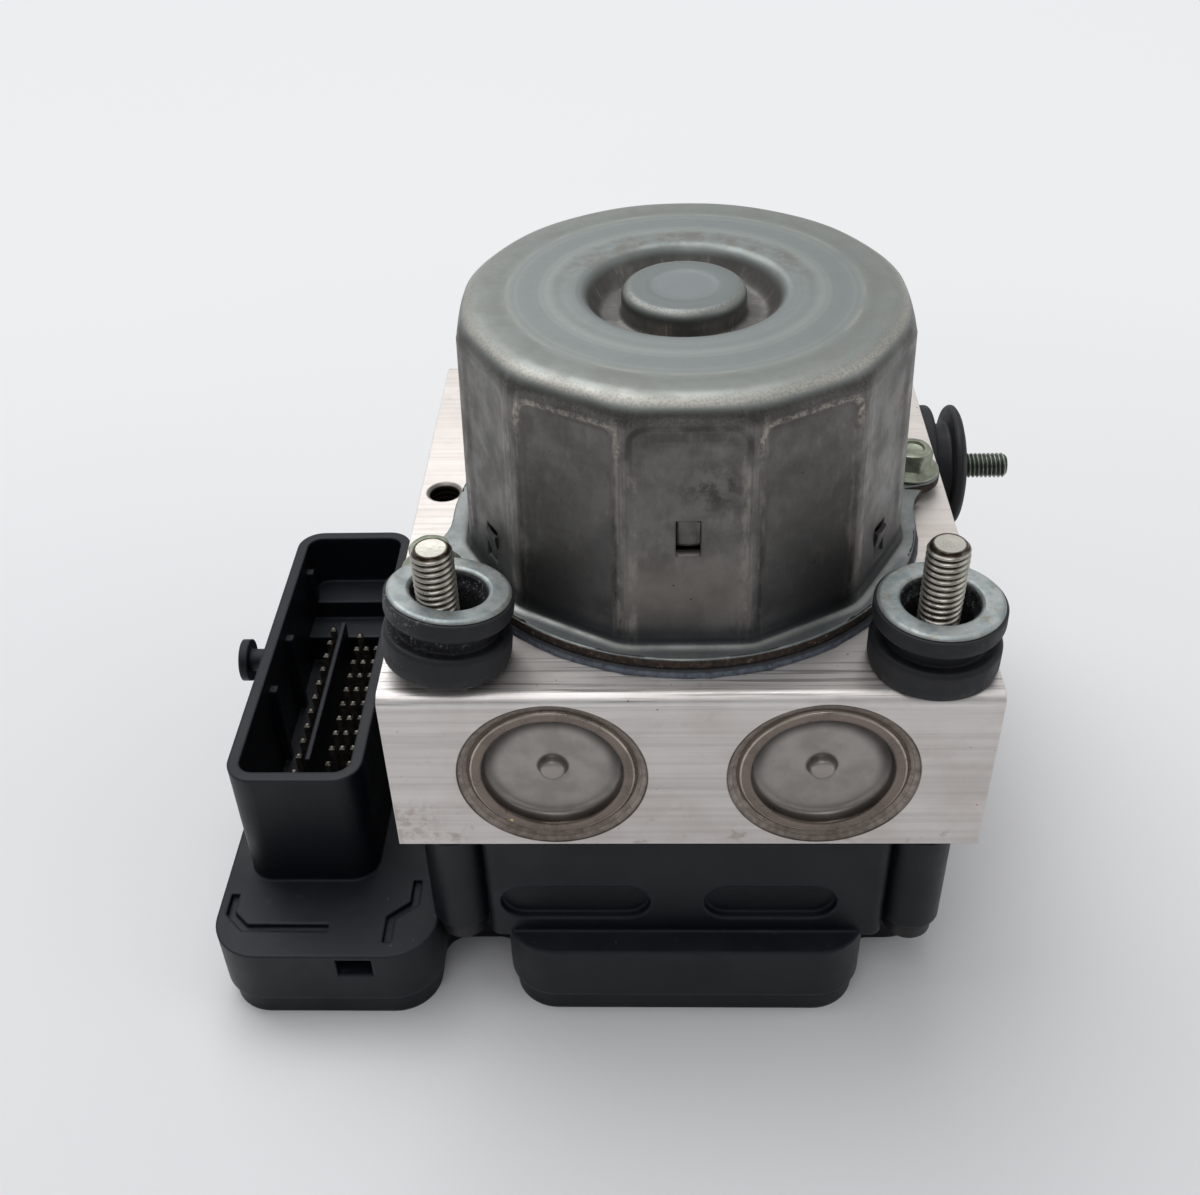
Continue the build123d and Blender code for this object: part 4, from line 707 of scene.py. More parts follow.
def cap_finish():
    """Pressed cap: matt floor with scratches, painted shadow in the hollow, brown rim with a painted
    highlight line and a dark line, painted shade on the lip's wall and round the nub, a painted highlight on
    the nub's top and a painted glint on the left cap.
    """
    f = Finish("pressed_cap")
    base = colours().cap
    brown = colours().cap_brown
    cap = middle("accumulator_cap_right")
    cloud = f.noise(0.0045, 5.0, 0.6)
    grain = f.noise(0.0003, 3.0, 0.6)
    centre = f.from_cap()
    rim = f.band(centre, 0.0101, 0.0104)
    f.colour = base
    f.coat(shade(base, 0.86), f.band(cloud, 0.38, 0.66))
    f.coat(tone(176, 172, 168), f.band(f.noise(0.0007, 3.0, 0.7, stretch=(1.0, 1.0, 0.12)), 0.62, 0.72), 0.3)
    f.coat(tone(74, 68, 62), f.band(f.cells(0.0014), 0.09, 0.03), f.band(f.noise(0.004, 2.0), 0.5, 0.6), 0.6)
    # Painted shadow of the crest on the hollow's wall and floor, strongest at its top.
    lifted = f.away(f.beside(), cap.x, f.z, cap.z - 0.0012)
    f.coat(tone(50, 45, 41), f.band(lifted, 0.0078, 0.0100),
           f.band(f.less(f.z, cap.z), -0.006, 0.003, 0.35, 0.9))
    floor = f.colour
    f.colour = f.mix(f.band(cloud, 0.35, 0.6), brown, shade(brown, 1.35))
    # Painted highlight: a thin bright line round the rim.
    f.coat(tone(208, 198, 186), f.within(centre, 0.01192, 0.01222, 0.00008),
           f.band(cloud, 0.3, 0.6, 0.35, 0.9))
    f.coat(tone(62, 52, 45), f.within(centre, 0.01232, 0.01262, 0.00008), 0.6)
    # Painted shade on the lip's wall going down into the hollow.
    f.coat(tone(44, 38, 35), f.band(centre, 0.01062, 0.01042), 0.75)
    f.colour = f.mix(rim, floor, f.colour)
    # Painted shade: a dark ring round the nub's foot.
    f.coat(tone(62, 56, 52), f.within(centre, 0.0019, 0.0024, 0.0002), 0.7)
    # Painted highlight: the nub's top is lighter.
    f.coat(tone(158, 150, 144), f.band(centre, 0.0017, 0.0014), 0.5)
    # Painted glint: a small gold highlight low on the left cap's rim.
    painted_glint = f.away(f.x, -cap.x - 0.0066, f.z, cap.z - 0.0096)
    f.coat(tone(236, 214, 150), f.band(painted_glint, 0.0004, 0.0001), 0.9)
    normal = f.bump(f.plus(f.times(grain, 0.5), cloud), 0.00005, 0.5)
    rough = f.mix(rim, f.band(cloud, 0.3, 0.7, 0.38, 0.52), f.band(cloud, 0.3, 0.7, 0.24, 0.36))
    return f.finish(rough, 0.65, normal)


def washer_finish():
    """Blue zinc washer with a yellowish worn outer edge and rubbed patches."""
    f = Finish("zinc_washer")
    cloud = f.noise(0.0030, 5.0, 0.6)
    fine = f.noise(0.0006, 4.0, 0.65)
    f.colour = colours().washer
    f.coat(tone(132, 144, 148), f.band(cloud, 0.38, 0.66, 0.0, 0.7))
    f.coat(tone(150, 142, 124), f.band(f.noise(0.0019, 5.0, 0.7), 0.54, 0.66, 0.0, 0.8))
    f.coat(tone(206, 206, 198), f.band(f.noise(0.0008, 5.0, 0.75), 0.60, 0.68, 0.0, 0.6))
    f.coat(tone(206, 200, 180), f.rim(0.0004, 0.08), f.band(fine, 0.3, 0.6, 0.4, 0.9))
    f.coat(tone(92, 86, 76), f.band(f.cells(0.0011), 0.10, 0.03), 0.5)
    normal = f.bump(f.plus(cloud, f.times(fine, 0.3)), 0.00008, 0.5)
    return f.finish(f.band(fine, 0.3, 0.7, 0.4, 0.58), 0.72, normal)


def thread_finish(name, base, root, side, radius, depth):
    """Zinc on thread crests and brown oxide in the roots of the upright studs or of the side one."""
    f = Finish(name)
    if side:
        centre = middle("grommet_side")
        distance = f.away(f.y, centre.y, f.z, centre.z)
    else:
        distance = f.from_stud()
    cloud = f.noise(0.0016, 5.0, 0.7)
    f.colour = f.mix(f.band(distance, radius - depth * 0.8, radius - depth * 0.25), root, base)
    f.coat(shade(base, 0.55), f.band(cloud, 0.5, 0.7, 0.0, 0.5))
    f.coat(base, f.band(distance, radius * 0.72, radius * 0.66), f.band(f.x if side else f.z, 0.0, 0.001))
    return f.finish(f.band(cloud, 0.3, 0.7, 0.22, 0.42), 0.85, f.bump(cloud, 0.00012, 0.5))


def bolt_finish():
    """Yellow-green passivated steel with rubbed corners."""
    f = Finish("passivated_bolt")
    cloud = f.noise(0.0022, 5.0, 0.65)
    f.colour = colours().bolt
    f.coat(tone(118, 126, 112), f.band(cloud, 0.4, 0.65))
    f.coat(tone(168, 166, 140), f.band(f.noise(0.0012, 5.0, 0.7), 0.58, 0.7, 0.0, 0.7))
    f.coat(tone(204, 204, 190), f.rim(0.0003, 0.08), 0.6)
    return f.finish(0.42, 0.7, f.bump(cloud, 0.00008, 0.5))


def rubber_finish():
    """Black rubber, dusty in its grooves and dull on its rims."""
    f = Finish("grommet_rubber")
    top = BLOCK_HIGH.z
    dust = f.noise(0.0024, 6.0, 0.7)
    fine = f.noise(0.0004, 4.0, 0.7)
    crumbs = f.band(f.noise(0.0006, 4.0, 0.8), 0.55, 0.64)
    f.colour = colours().rubber
    f.coat(tone(44, 46, 50), f.band(dust, 0.42, 0.7, 0.0, 0.4))
    f.coat(tone(84, 84, 86), f.band(f.noise(0.0009, 5.0, 0.75), 0.60, 0.68), 0.22)
    f.coat(tone(74, 77, 82), f.rim(0.0005, 0.10), 0.4)
    f.coat(tone(150, 150, 152), f.band(f.from_stud(), 0.0078, 0.0070), crumbs,
           f.band(f.z, top + 0.006, top + 0.009), 0.8)
    normal = f.bump(f.plus(dust, f.times(fine, 0.5)), 0.0001, 0.4)
    return f.finish(f.band(dust, 0.3, 0.7, 0.5, 0.72), 0.0, normal, 0.4)


def plastic_finish(name, base, soft):
    """Moulded black plastic with a fine spark grain, dust and soft bright edges."""
    f = Finish(name)
    grain = f.noise(0.00028, 3.0, 0.6)
    cloud = f.noise(0.011, 5.0, 0.6)
    scuff = f.noise(0.0022, 5.0, 0.7, stretch=(0.4, 1.0, 1.0))
    facing = f.band(f.facing_up(), 0.55, 0.95)
    f.colour = base
    f.coat(shade(base, 0.62), f.band(cloud, 0.35, 0.7, 0.0, 0.45))
    f.coat(tone(30, 33, 40), facing, f.band(cloud, 0.3, 0.65, 0.2, 0.6))
    f.coat(tone(66, 68, 74), facing, f.band(scuff, 0.60, 0.72), 0.3)
    f.coat(tone(120, 120, 122), facing, f.band(f.cells(0.0035), 0.045, 0.02), 0.6)
    f.coat(tone(38, 43, 54), f.rim(soft * 1.6, 0.14), f.band(scuff, 0.3, 0.6, 0.2, 0.5))
    rough = f.plus(f.band(cloud, 0.3, 0.7, 0.40, 0.52), f.times(facing, 0.08))
    return f.finish(rough, 0.0, f.bump(grain, 0.00004, 0.5, soft_edge=soft), 0.32)


def plain_finish(name, first, second, roughness, metallic, size):
    """Two-tone mottled finish for pieces that sit inside."""
    f = Finish(name)
    cloud = f.noise(size, 5.0, 0.6)
    fine = f.noise(size * 0.15, 3.0, 0.6)
    f.colour = f.mix(f.band(cloud, 0.35, 0.68), tone(*first), tone(*second))
    rough = f.band(fine, 0.3, 0.7, roughness - 0.08, roughness + 0.08)
    return f.finish(rough, metallic, f.bump(f.plus(cloud, f.times(fine, 0.6)), 0.00005, 0.5))


# Motor can

def polygon_radius(angle, apothem, corner):
    """Radius of a regular polygon with rounded corners, flat side at angle zero."""
    half = math.pi / SIDES
    local = (angle + half) % (2 * half) - half
    away = abs(local)
    tangent = math.atan((apothem - corner) * math.tan(half) / apothem)
    if away <= tangent:
        return apothem / math.cos(away)
    centre = (apothem - corner) / math.cos(half)
    delta = half - away
    return centre * math.cos(delta) + math.sqrt(max(corner ** 2 - (centre * math.sin(delta)) ** 2, 0.0))


def smooth(value, start, end):
    """Smooth step from zero at start to one at end."""
    share = min(max((value - start) / (end - start), 0.0), 1.0)
    return share * share * (3 - 2 * share)


def bolt_offsets(size):
    """Places of the two bolts from the motor axis."""
    return [(size.right_bolt_x, size.right_bolt_y), (-size.left_bolt_x, -size.left_bolt_y)]


def flange_reach(angle, size):
    """Outer radius of the flange: a circle, two ears around the bolts and hollow fillets between."""
    best = size.flange_radius
    for across, along in bolt_offsets(size):
        reach = math.hypot(across, along)
        away = abs((angle - math.atan2(along, across) + math.pi) % (2 * math.pi) - math.pi)
        round_reach = size.flange_radius + size.ear_fillet
        ear_reach = size.ear_radius + size.ear_fillet
        swing = math.acos((reach ** 2 + round_reach ** 2 - ear_reach ** 2) / (2 * reach * round_reach))
        cross = reach * math.sin(away)
        if cross < size.ear_radius and away < math.pi / 2:
            best = max(best, reach * math.cos(away) + math.sqrt(size.ear_radius ** 2 - cross ** 2))
        if away < swing:
            hollow = round_reach * math.sin(swing - away)
            if hollow < size.ear_fillet:
                start = round_reach * math.cos(swing - away) - math.sqrt(size.ear_fillet ** 2 - hollow ** 2)
                best = max(best, start) if start < reach else best
    return best


def panel_relief(angle, height, size):
    """How far the wall is pressed in: a panel on each side, deepest beside the front and back ones."""
    half = math.pi / SIDES
    facet = round(angle / (2 * half))
    local = angle - facet * 2 * half
    arc = abs(local) * size.can_apothem
    width = half * size.can_apothem
    top = CAN_HIGH.z - PANEL_DROP
    foot = CAN_LOW.z + size.flange_thickness
    deep = facet % SIDES in (1, 5, 7, 11)
    inset, rise, share = (PANEL_INSET, 0.0040, 1.0) if deep else (0.0022, 0.0070, 0.7)
    past_side = max(arc - (width - inset - PANEL_CORNER), 0.0)
    past_top = max(height - (top - PANEL_CORNER), 0.0)
    inside = smooth(math.hypot(past_side, past_top), PANEL_CORNER, PANEL_CORNER - 0.0008)
    inside *= smooth(height, foot + 0.0015, foot + rise)
    return -size.panel_recess * share * inside


def can_rows(size):
    """Profile of the can from the flange's lower edge to the knob's middle.

    Each row is a kind and its values: flange rows run between wall and rim, wall rows go up,
    top rows go inward.
    """
    rows = []
    low = CAN_LOW.z
    face = CAN_HIGH.z - KNOB_RISE
    top_of_flange = low + size.flange_thickness
    nick = 0.00028
    for shift, height in ((-nick, low), (0.0, low + nick), (0.0, low + size.flange_thickness * 0.35),
                          (0.0, low + size.flange_thickness * 0.65), (0.0, top_of_flange - nick),
                          (-nick * 0.3, top_of_flange - nick * 0.3), (-nick, top_of_flange)):
        rows.append(("flange", 1.0, shift, height))
    rows += [("flange", share, 0.0, top_of_flange) for share in (0.8, 0.55, 0.3, 0.12)]
    foot = size.can_foot
    for step in range(6):
        turn = math.pi / 2 * step / 5
        rows.append(("wall", foot * (1 - math.sin(turn)), top_of_flange + foot * (1 - math.cos(turn)), 0.9))
    start = top_of_flange + foot
    end = face - size.can_shoulder
    marks = [start + (end - start) * step / 46 for step in range(1, 47)]
    for base, height in window_heights(size):
        marks += [base, base + height]
    rows += [("wall", 0.0, height, 1.0) for height in sorted(marks)]
    for step in range(1, 12):
        turn = math.pi / 2 * step / 11
        rows.append(("wall", -size.can_shoulder * (1 - math.cos(turn)),
                     end + size.can_shoulder * math.sin(turn), 1.0 - 0.94 * (step / 11) ** 0.6))
    inner = can_width(face, size) + CIRCLE_SWELL - size.can_shoulder
    for step in range(1, 15):
        radius = inner + (size.dish_blend - inner) * step / 14
        rows.append(("top", radius, face, 0.06 * (1 - step / 14)))
    return rows + [("top", radius, face + height, 0.0) for radius, height in dish_profile(size)]


def dish_profile(size):
    """Radius and height below the top face, from the hollow's rim to the knob's middle."""
    points = []
    depth = size.dish_depth
    for step in range(1, 13):
        share = step / 12
        radius = size.dish_blend + (size.dish_floor + 0.0002 - size.dish_blend) * share
        fall = smooth(share, 0.0, 1.0) * 0.5 + smooth(share, 0.25, 1.0) * 0.5
        points.append((radius, -depth * fall))
    points += [(size.dish_floor - 0.0006, -depth), (size.knob_radius + 0.0006, -depth),
               (size.knob_radius + 0.00015, -depth + 0.00015), (size.knob_radius, -depth + 0.0006)]
    bevel = size.knob_radius - size.knob_face
    side = depth - 0.0006 + KNOB_RISE - bevel
    for step in range(1, 5):
        points.append((size.knob_radius, -depth + 0.0006 + side * step / 4))
    for step in range(1, 8):
        turn = math.pi / 2 * step / 7
        points.append((size.knob_radius - bevel * (1 - math.cos(turn)),
                       KNOB_RISE - bevel * (1 - math.sin(turn))))
    for radius in (0.0070, 0.0060, 0.0051, 0.0048, 0.0036, 0.0022, 0.0009, 0.00002):
        lift = -0.00006 if radius < 0.005 else 0.0
        points.append((radius, KNOB_RISE + lift))
    return points


def window_heights(size):
    """Lower end and height of the high and the low windows."""
    high = CAN_HIGH.z - KNOB_RISE - HIGH_WINDOW_DROP - size.window_height
    low = CAN_LOW.z + size.flange_thickness + LOW_WINDOW_RISE
    return [(high, size.window_height), (low, size.window_height)]


def window_places(size):
    """Angle, lower end and height of each lanced window."""
    high, low = window_heights(size)
    sixth = math.pi / 3
    return ([(turn, *high) for turn in (0.0, math.pi)]
            + [(turn, *low) for turn in (sixth, -sixth, 2 * sixth, -2 * sixth)])


def can_width(height, size):
    """Distance from the axis to a flat side at a height."""
    foot = CAN_LOW.z + size.flange_thickness
    end = CAN_HIGH.z - KNOB_RISE - size.can_shoulder
    return size.can_apothem - size.can_draft * min(max((height - foot) / (end - foot), 0.0), 1.0)


def can_point(row, angle, size):
    """Place of one vertex of the can, its angle counted from the front."""
    kind = row[0]
    world = FRONT + angle
    if kind == "flange":
        _, share, shift, height = row
        wall = polygon_radius(angle, size.can_apothem, size.can_corner) + size.can_foot
        rim = flange_reach(world % (2 * math.pi), size)
        radius = wall + (rim - wall) * share + shift
    else:
        _, value, height, share = row
        apothem = can_width(height, size)
        polygon = polygon_radius(angle, apothem, size.can_corner + (1 - share) * size.shoulder_corner)
        if kind == "top":
            radius = value + (polygon - apothem) * share
        else:
            circle = apothem + CIRCLE_SWELL
            radius = circle + (polygon - circle) * share + value
            if value == 0.0:
                radius += panel_relief(angle, height, size)
    return around(radius, world, height, y=AXIS_Y)


def build_can(material):
    """Whole can as one skin with its windows cut and their walls turned in."""
    size = sizes()
    rows = can_rows(size)
    steps = 480
    angles = [angle if angle <= math.pi else angle - 2 * math.pi for angle in turns(steps)]
    vertices = [can_point(row, angle, size) for row in rows for angle in angles]
    faces = []
    windows = window_places(size)
    half = size.window_width / 2 / size.can_apothem
    for index in range(len(rows) - 1):
        below, above = rows[index], rows[index + 1]
        for step in range(steps):
            after = (step + 1) % steps
            if below[0] == "wall" and above[0] == "wall":
                height = (below[2] + above[2]) / 2
                angle = angles[step] + math.pi / steps
                inside = any(abs((angle - turn + math.pi) % (2 * math.pi) - math.pi) < half
                             and base < height < base + tall for turn, base, tall in windows)
                if inside:
                    continue
            base = index * steps
            faces.append((base + step, base + after, base + steps + after, base + steps + step))
    piece = new_piece("motor_can_skin", vertices, faces, material)
    turn_in_windows(piece, size)
    return piece


def turn_in_windows(piece, size):
    """Give each window's edge the sheet's thickness."""
    work = bmesh.new()
    work.from_mesh(piece.data)
    border = []
    for edge in work.edges:
        if not edge.is_boundary:
            continue
        middle_point = (edge.verts[0].co + edge.verts[1].co) / 2
        if CAN_LOW.z + size.flange_thickness + 0.001 < middle_point.z < CAN_HIGH.z - 0.006:
            border.append(edge)
    made = bmesh.ops.extrude_edge_only(work, edges=border)
    for vertex in made["geom"]:
        if isinstance(vertex, bmesh.types.BMVert):
            outward = Vector((vertex.co.x, vertex.co.y - AXIS_Y, 0)).normalized()
            vertex.co -= outward * size.wall
    bmesh.ops.recalc_face_normals(work, faces=work.faces)
    work.to_mesh(piece.data)
    work.free()


def build_lance(name, turn, base, tall, size, material, inward):
    """Tongue cut from the window and pressed in, or out for the low ones."""
    half = size.window_width / 2 - TONGUE_SIDE_GAP
    columns, levels = 8, 12
    world = FRONT + turn
    out = Vector((math.cos(world), math.sin(world), 0))
    side = Vector((-out.y, out.x, 0))
    origin = Vector((0, AXIS_Y, base))
    vertices = []
    for skin in (0.0, TONGUE_THICKNESS):
        for level in range(levels + 1):
            share = level / levels
            if inward:
                height = tall - share * (tall - TONGUE_GAP)
                depth = 0.0004 + 0.0009 * smooth(share, 0.0, 1.0)
            else:
                height = share * (tall - TONGUE_GAP)
                depth = 0.0003 - 0.0008 * smooth(share, 0.0, 1.0)
            for column in range(columns + 1):
                across = -half + 2 * half * column / columns
                bow = 0.00025 * (across / half) ** 2
                arch = 0.0004 * (across / half) ** 4 * (1 - share)
                wall = can_width(base + height, size)
                point = (origin + side * across + out * (wall - depth - bow - skin)
                         + Vector((0, 0, height - (arch if inward else -arch))))
                vertices.append(point)
    faces = []
    row = columns + 1
    block = row * (levels + 1)
    for skin in (0, 1):
        for level in range(levels):
            for column in range(columns):
                start = skin * block + level * row + column
                quad = (start, start + 1, start + row + 1, start + row)
                faces.append(quad if skin == 0 else quad[::-1])
    for level in range(levels):
        for column in (0, columns):
            start = level * row + column
            faces.append((start, start + row, start + row + block, start + block))
    for column in range(columns):
        for level in (0, levels):
            start = level * row + column
            faces.append((start, start + 1, start + 1 + block, start + block))
    piece = new_piece(name, vertices, faces, material)
    piece.data.polygons.foreach_set("use_smooth", [index < 2 * columns * levels
                                                   for index in range(len(piece.data.polygons))])
    return piece


def build_bead(material):
    """Squeezed-out sealing bead with an uneven edge and small peaks."""
    size = sizes()
    steps = 720
    base, top = GASKET_LOW.z, GASKET_HIGH.z
    peaks = (0.085, -0.24, 0.32, 1.2, -1.1, 2.4)
    vertices = []
    profile = [(-0.0070, 0.0, 0.0), (-0.0002, 0.0, 0.0), (0.0, 0.18, 1.0), (-0.00005, 0.5, 1.0),
               (-0.00025, 0.8, 0.6), (-0.0006, 1.0, 0.2), (-0.0070, 1.0, 0.0)]
    for shift, share, wave in profile:
        for angle in turns(steps):
            local = angle if angle <= math.pi else angle - 2 * math.pi
            ripple = (math.sin(angle * 23 + 1.0) * 0.5 + math.sin(angle * 61 + 2.0) * 0.3
                      + math.sin(angle * 137) * 0.2)
            spike = sum(math.exp(-((local - peak) * 90) ** 2) for peak in peaks)
            radius = size.bead_radius + shift + wave * (0.00012 * ripple - 0.00012 + 0.0002 * spike)
            height = base + (top - base) * share
            vertices.append(around(radius, FRONT + angle, height, y=AXIS_Y))
    faces = ring_faces(len(profile), steps, closed=True)
    return new_piece("sealing_bead", vertices, faces, material)


# Threads, bolts and grommets

def build_stud(name, place, radius, length, pitch, depth, material):
    """Stud with a rolled helical thread, a chamfered end and a slightly dished face."""
    steps = 48
    count = int(length / (pitch / 10))
    root = radius - depth
    end = 0.8 * pitch
    vertices = []
    for row in range(count + 1):
        height = length * row / count
        for step, turn in enumerate(turns(steps)):
            phase = (height / pitch - step / steps) % 1.0
            crest = (0.5 + 0.5 * math.cos(2 * math.pi * phase)) ** 0.8
            chamfer = (depth + 0.00015) * smooth(height, length - end, length)
            level = min(root + depth * crest, radius - chamfer)
            vertices.append(place @ around(level, turn, height))
    shares = (0.97, 0.86, 0.6, 0.3, 0.01)
    for share in shares:
        sink = 0.0 if share > 0.9 else -0.00006 * (1 - share)
        for turn in turns(steps):
            vertices.append(place @ around((root - 0.00015) * share, turn, length + sink))
    return new_piece(name, vertices, ring_faces(count + 1 + len(shares), steps), material)


def build_bolt(name, x, y, material):
    """Flange-head hexagon bolt with a rounded crown and a shallow dish on top.

    Each row has a radius, a height and a kind: 0 round, 1 hexagonal, 2 between them.
    """
    size = sizes()
    seat = CAN_LOW.z + size.flange_thickness
    top = limits("motor_bolts")[1].z
    collar = 0.0047
    across = 0.0031
    steps = 96
    rows = [(collar - 0.0002, seat, 0), (collar, seat + 0.0002, 0), (collar, seat + 0.0005, 0),
            (collar - 0.0003, seat + 0.0007, 0), (across + 0.00045, seat + 0.0012, 0),
            (across + 0.00012, seat + 0.0014, 1), (across, seat + 0.0018, 1),
            (across, top - 0.0009, 1), (across - 0.00005, top - 0.0006, 1),
            (across - 0.00012, top - 0.0001, 2), (across - 0.0004, top, 2), (0.0021, top, 0),
            (0.0018, top - 0.0004, 0), (0.0010, top - 0.0006, 0), (0.00002, top - 0.0006, 0)]
    vertices = []
    for radius, height, kind in rows:
        for turn in turns(steps):
            local = (turn + math.pi / 6) % (math.pi / 3) - math.pi / 6
            hexagon = min(1 / math.cos(local), 1.12)
            level = radius * (1 + (hexagon - 1) * (0.0, 1.0, 0.3)[kind])
            vertices.append(around(level, turn + 0.35, height, x, y))
    piece = new_piece(name, vertices, ring_faces(len(rows), steps), material)
    piece.data.set_sharp_from_angle(angle=math.radians(28))
    return piece


def cocked_place():
    """Frame of the left grommet, leaning right and back against its stud."""
    low = BLOCK_HIGH.z
    right = middle("grommet_right")
    tilt = math.radians(6.6)
    turn = Euler((-tilt, 0, 0)).to_matrix().to_4x4() @ Euler((0, tilt, 0)).to_matrix().to_4x4()
    return Matrix.Translation((-right.x + 0.35 * MM, right.y + 0.1 * MM, low + 1.55 * MM)) @ turn


def upright_place():
    """Frame of the right grommet."""
    right = middle("grommet_right")
    return Matrix.Translation((right.x, right.y, BLOCK_HIGH.z))


# Radii and heights of the two upright grommets and their washers
FLANGE = 9.3 * MM
TOP_FLANGE = 9.24 * MM
GROOVE = 7.0 * MM
BORE = 5.4 * MM
GROOVE_BASE = 5.0 * MM
GROOVE_TOP = 7.56 * MM
GROMMET_TOP = 10.56 * MM
WASHER_TOP = 11.2 * MM
WASHER_RADIUS = 8.8 * MM


def build_grommet(name, place, material):
    """Rubber bush: thick lower flange, groove, thinner upper flange lipped around the washer."""
    points = [(BORE, 0.0), (FLANGE - 0.0003, 0.0), (FLANGE, 0.0014), (FLANGE, GROOVE_BASE - 0.0006),
              (FLANGE - 0.0005, GROOVE_BASE), (GROOVE + 0.0002, GROOVE_BASE - 0.0003),
              (GROOVE, GROOVE_BASE + 0.0006), (GROOVE, GROOVE_TOP - 0.0005),
              (GROOVE + 0.0003, GROOVE_TOP + 0.0001), (TOP_FLANGE - 0.0004, GROOVE_TOP),
              (TOP_FLANGE, GROOVE_TOP + 0.0007), (TOP_FLANGE - 0.00005, GROMMET_TOP - 0.0001),
              (TOP_FLANGE - 0.0002, GROMMET_TOP), (BORE, GROMMET_TOP),
              (BORE - 0.0001, GROMMET_TOP - 0.0012), (BORE - 0.0006, GROMMET_TOP - 0.0022)]
    return turned_piece(name, points, 0.0004, place, material, steps=160)


def build_washer(name, place, material):
    """Flat washer with a rolled outer edge and a bright chamfer around its hole."""
    points = [(BORE + 0.0001, GROMMET_TOP), (WASHER_RADIUS, GROMMET_TOP),
              (WASHER_RADIUS, WASHER_TOP - 0.0003), (WASHER_RADIUS - 0.0004, WASHER_TOP),
              (BORE + 0.0006, WASHER_TOP), (BORE + 0.0002, WASHER_TOP - 0.0003)]
    return turned_piece(name, points, 0.00022, place, material, steps=160, arc=3)


def build_side_grommet(material):
    """Bush on the side face with a domed outer flange."""
    low, high = limits("grommet_side")
    centre = middle("grommet_side")
    radius = (high.y - low.y) / 2
    groove_start, groove_end, end = 0.0036, 0.0068, high.x - low.x
    points = [(0.0025, 0.0), (radius - 0.0004, 0.0), (radius, 0.0006), (radius, groove_start - 0.0005),
              (radius - 0.0005, groove_start), (0.0082, groove_start), (0.0080, groove_start + 0.0005),
              (0.0080, groove_end - 0.0005), (0.0082, groove_end), (radius - 0.0005, groove_end),
              (radius, groove_end + 0.0006), (radius, end - 0.0014), (radius - 0.0009, end - 0.0007),
              (0.0085, end - 0.0001), (0.0060, end), (0.0036, end - 0.0001), (0.0025, end - 0.0006)]
    return turned_piece("side_bush", points, 0.0004, along_x(low.x, centre.y, centre.z), material)


def build_cap(name, x, material):
    """Dished cap: sloping skirt, fine groove, rounded crest, soft wall, flat floor and nub."""
    z = middle("accumulator_cap_right").z
    points = [
        (0.01258, 0.00088), (0.0124, 0.00092), (0.01228, 0.00082), (0.0122, 0.00062), (0.0121, 0.00048),
        (0.0118, 0.0004), (0.0113, 0.00036), (0.0109, 0.00038), (0.0106, 0.00048), (0.01044, 0.0007),
        (0.01036, 0.0011), (0.0103, 0.0016), (0.01022, 0.0020), (0.0100, 0.00234), (0.0096, 0.00248),
        (0.0092, 0.0025), (0.0070, 0.0025), (0.0045, 0.0025), (0.0026, 0.0025), (0.0023, 0.00242),
        (0.0021, 0.0022), (0.00196, 0.0018), (0.00186, 0.0014), (0.0017, 0.00108), (0.0014, 0.00094),
        (0.0009, 0.0009), (0.00001, 0.0009)]
    vertices, faces = lathe(points, 160, into_y(x, BLOCK_LOW.y, z))
    return new_piece(name, vertices, faces, material)


# Operators

class BuildStep:
    """Shared settings of every building step."""
    bl_options = {"REGISTER", "UNDO"}

    def execute(self, context):
        """Build the pieces of this step."""
        self.build()
        return {"FINISHED"}


class MODULE_OT_stage(BuildStep, bpy.types.Operator):
    """Pale table, soft lamps, world and camera"""
    bl_idname = "module.stage"
    bl_label = "Stage"

    def build(self):
        build_floor()
        build_world()
        build_lamps()
        build_camera()


class MODULE_OT_block(BuildStep, bpy.types.Operator):
    """Finish of the aluminium block"""
    bl_idname = "module.block"
    bl_label = "Hydraulic block"

    def build(self):
        dress(aluminium_finish(), "hydraulic_block")


class MODULE_OT_motor(BuildStep, bpy.types.Operator):
    """Motor can, lances, sealing bead and bolts"""
    bl_idname = "module.motor"
    bl_label = "Motor"

    def build(self):
        size = sizes()
        zinc = can_finish()
        fit(build_can(zinc), "motor_can")
        for index, (turn, base, tall) in enumerate(window_places(size)):
            fit(build_lance(f"can_lance_{index}", turn, base, tall, size, zinc, index < 2))
        fit(build_bead(sealant_finish()), "motor_gasket")
        passivated = bolt_finish()
        for name, (across, along) in zip(("motor_bolt_right", "motor_bolt_left"), bolt_offsets(size)):
            fit(build_bolt(name, across, AXIS_Y + along, passivated), "motor_bolts")


class MODULE_OT_caps(BuildStep, bpy.types.Operator):
    """Accumulator caps in the front face"""
    bl_idname = "module.caps"
    bl_label = "Accumulator caps"

    def build(self):
        pressed = cap_finish()
        for name in ("accumulator_cap_left", "accumulator_cap_right"):
            fit(build_cap(name + "_disc", middle(name).x, pressed), name)


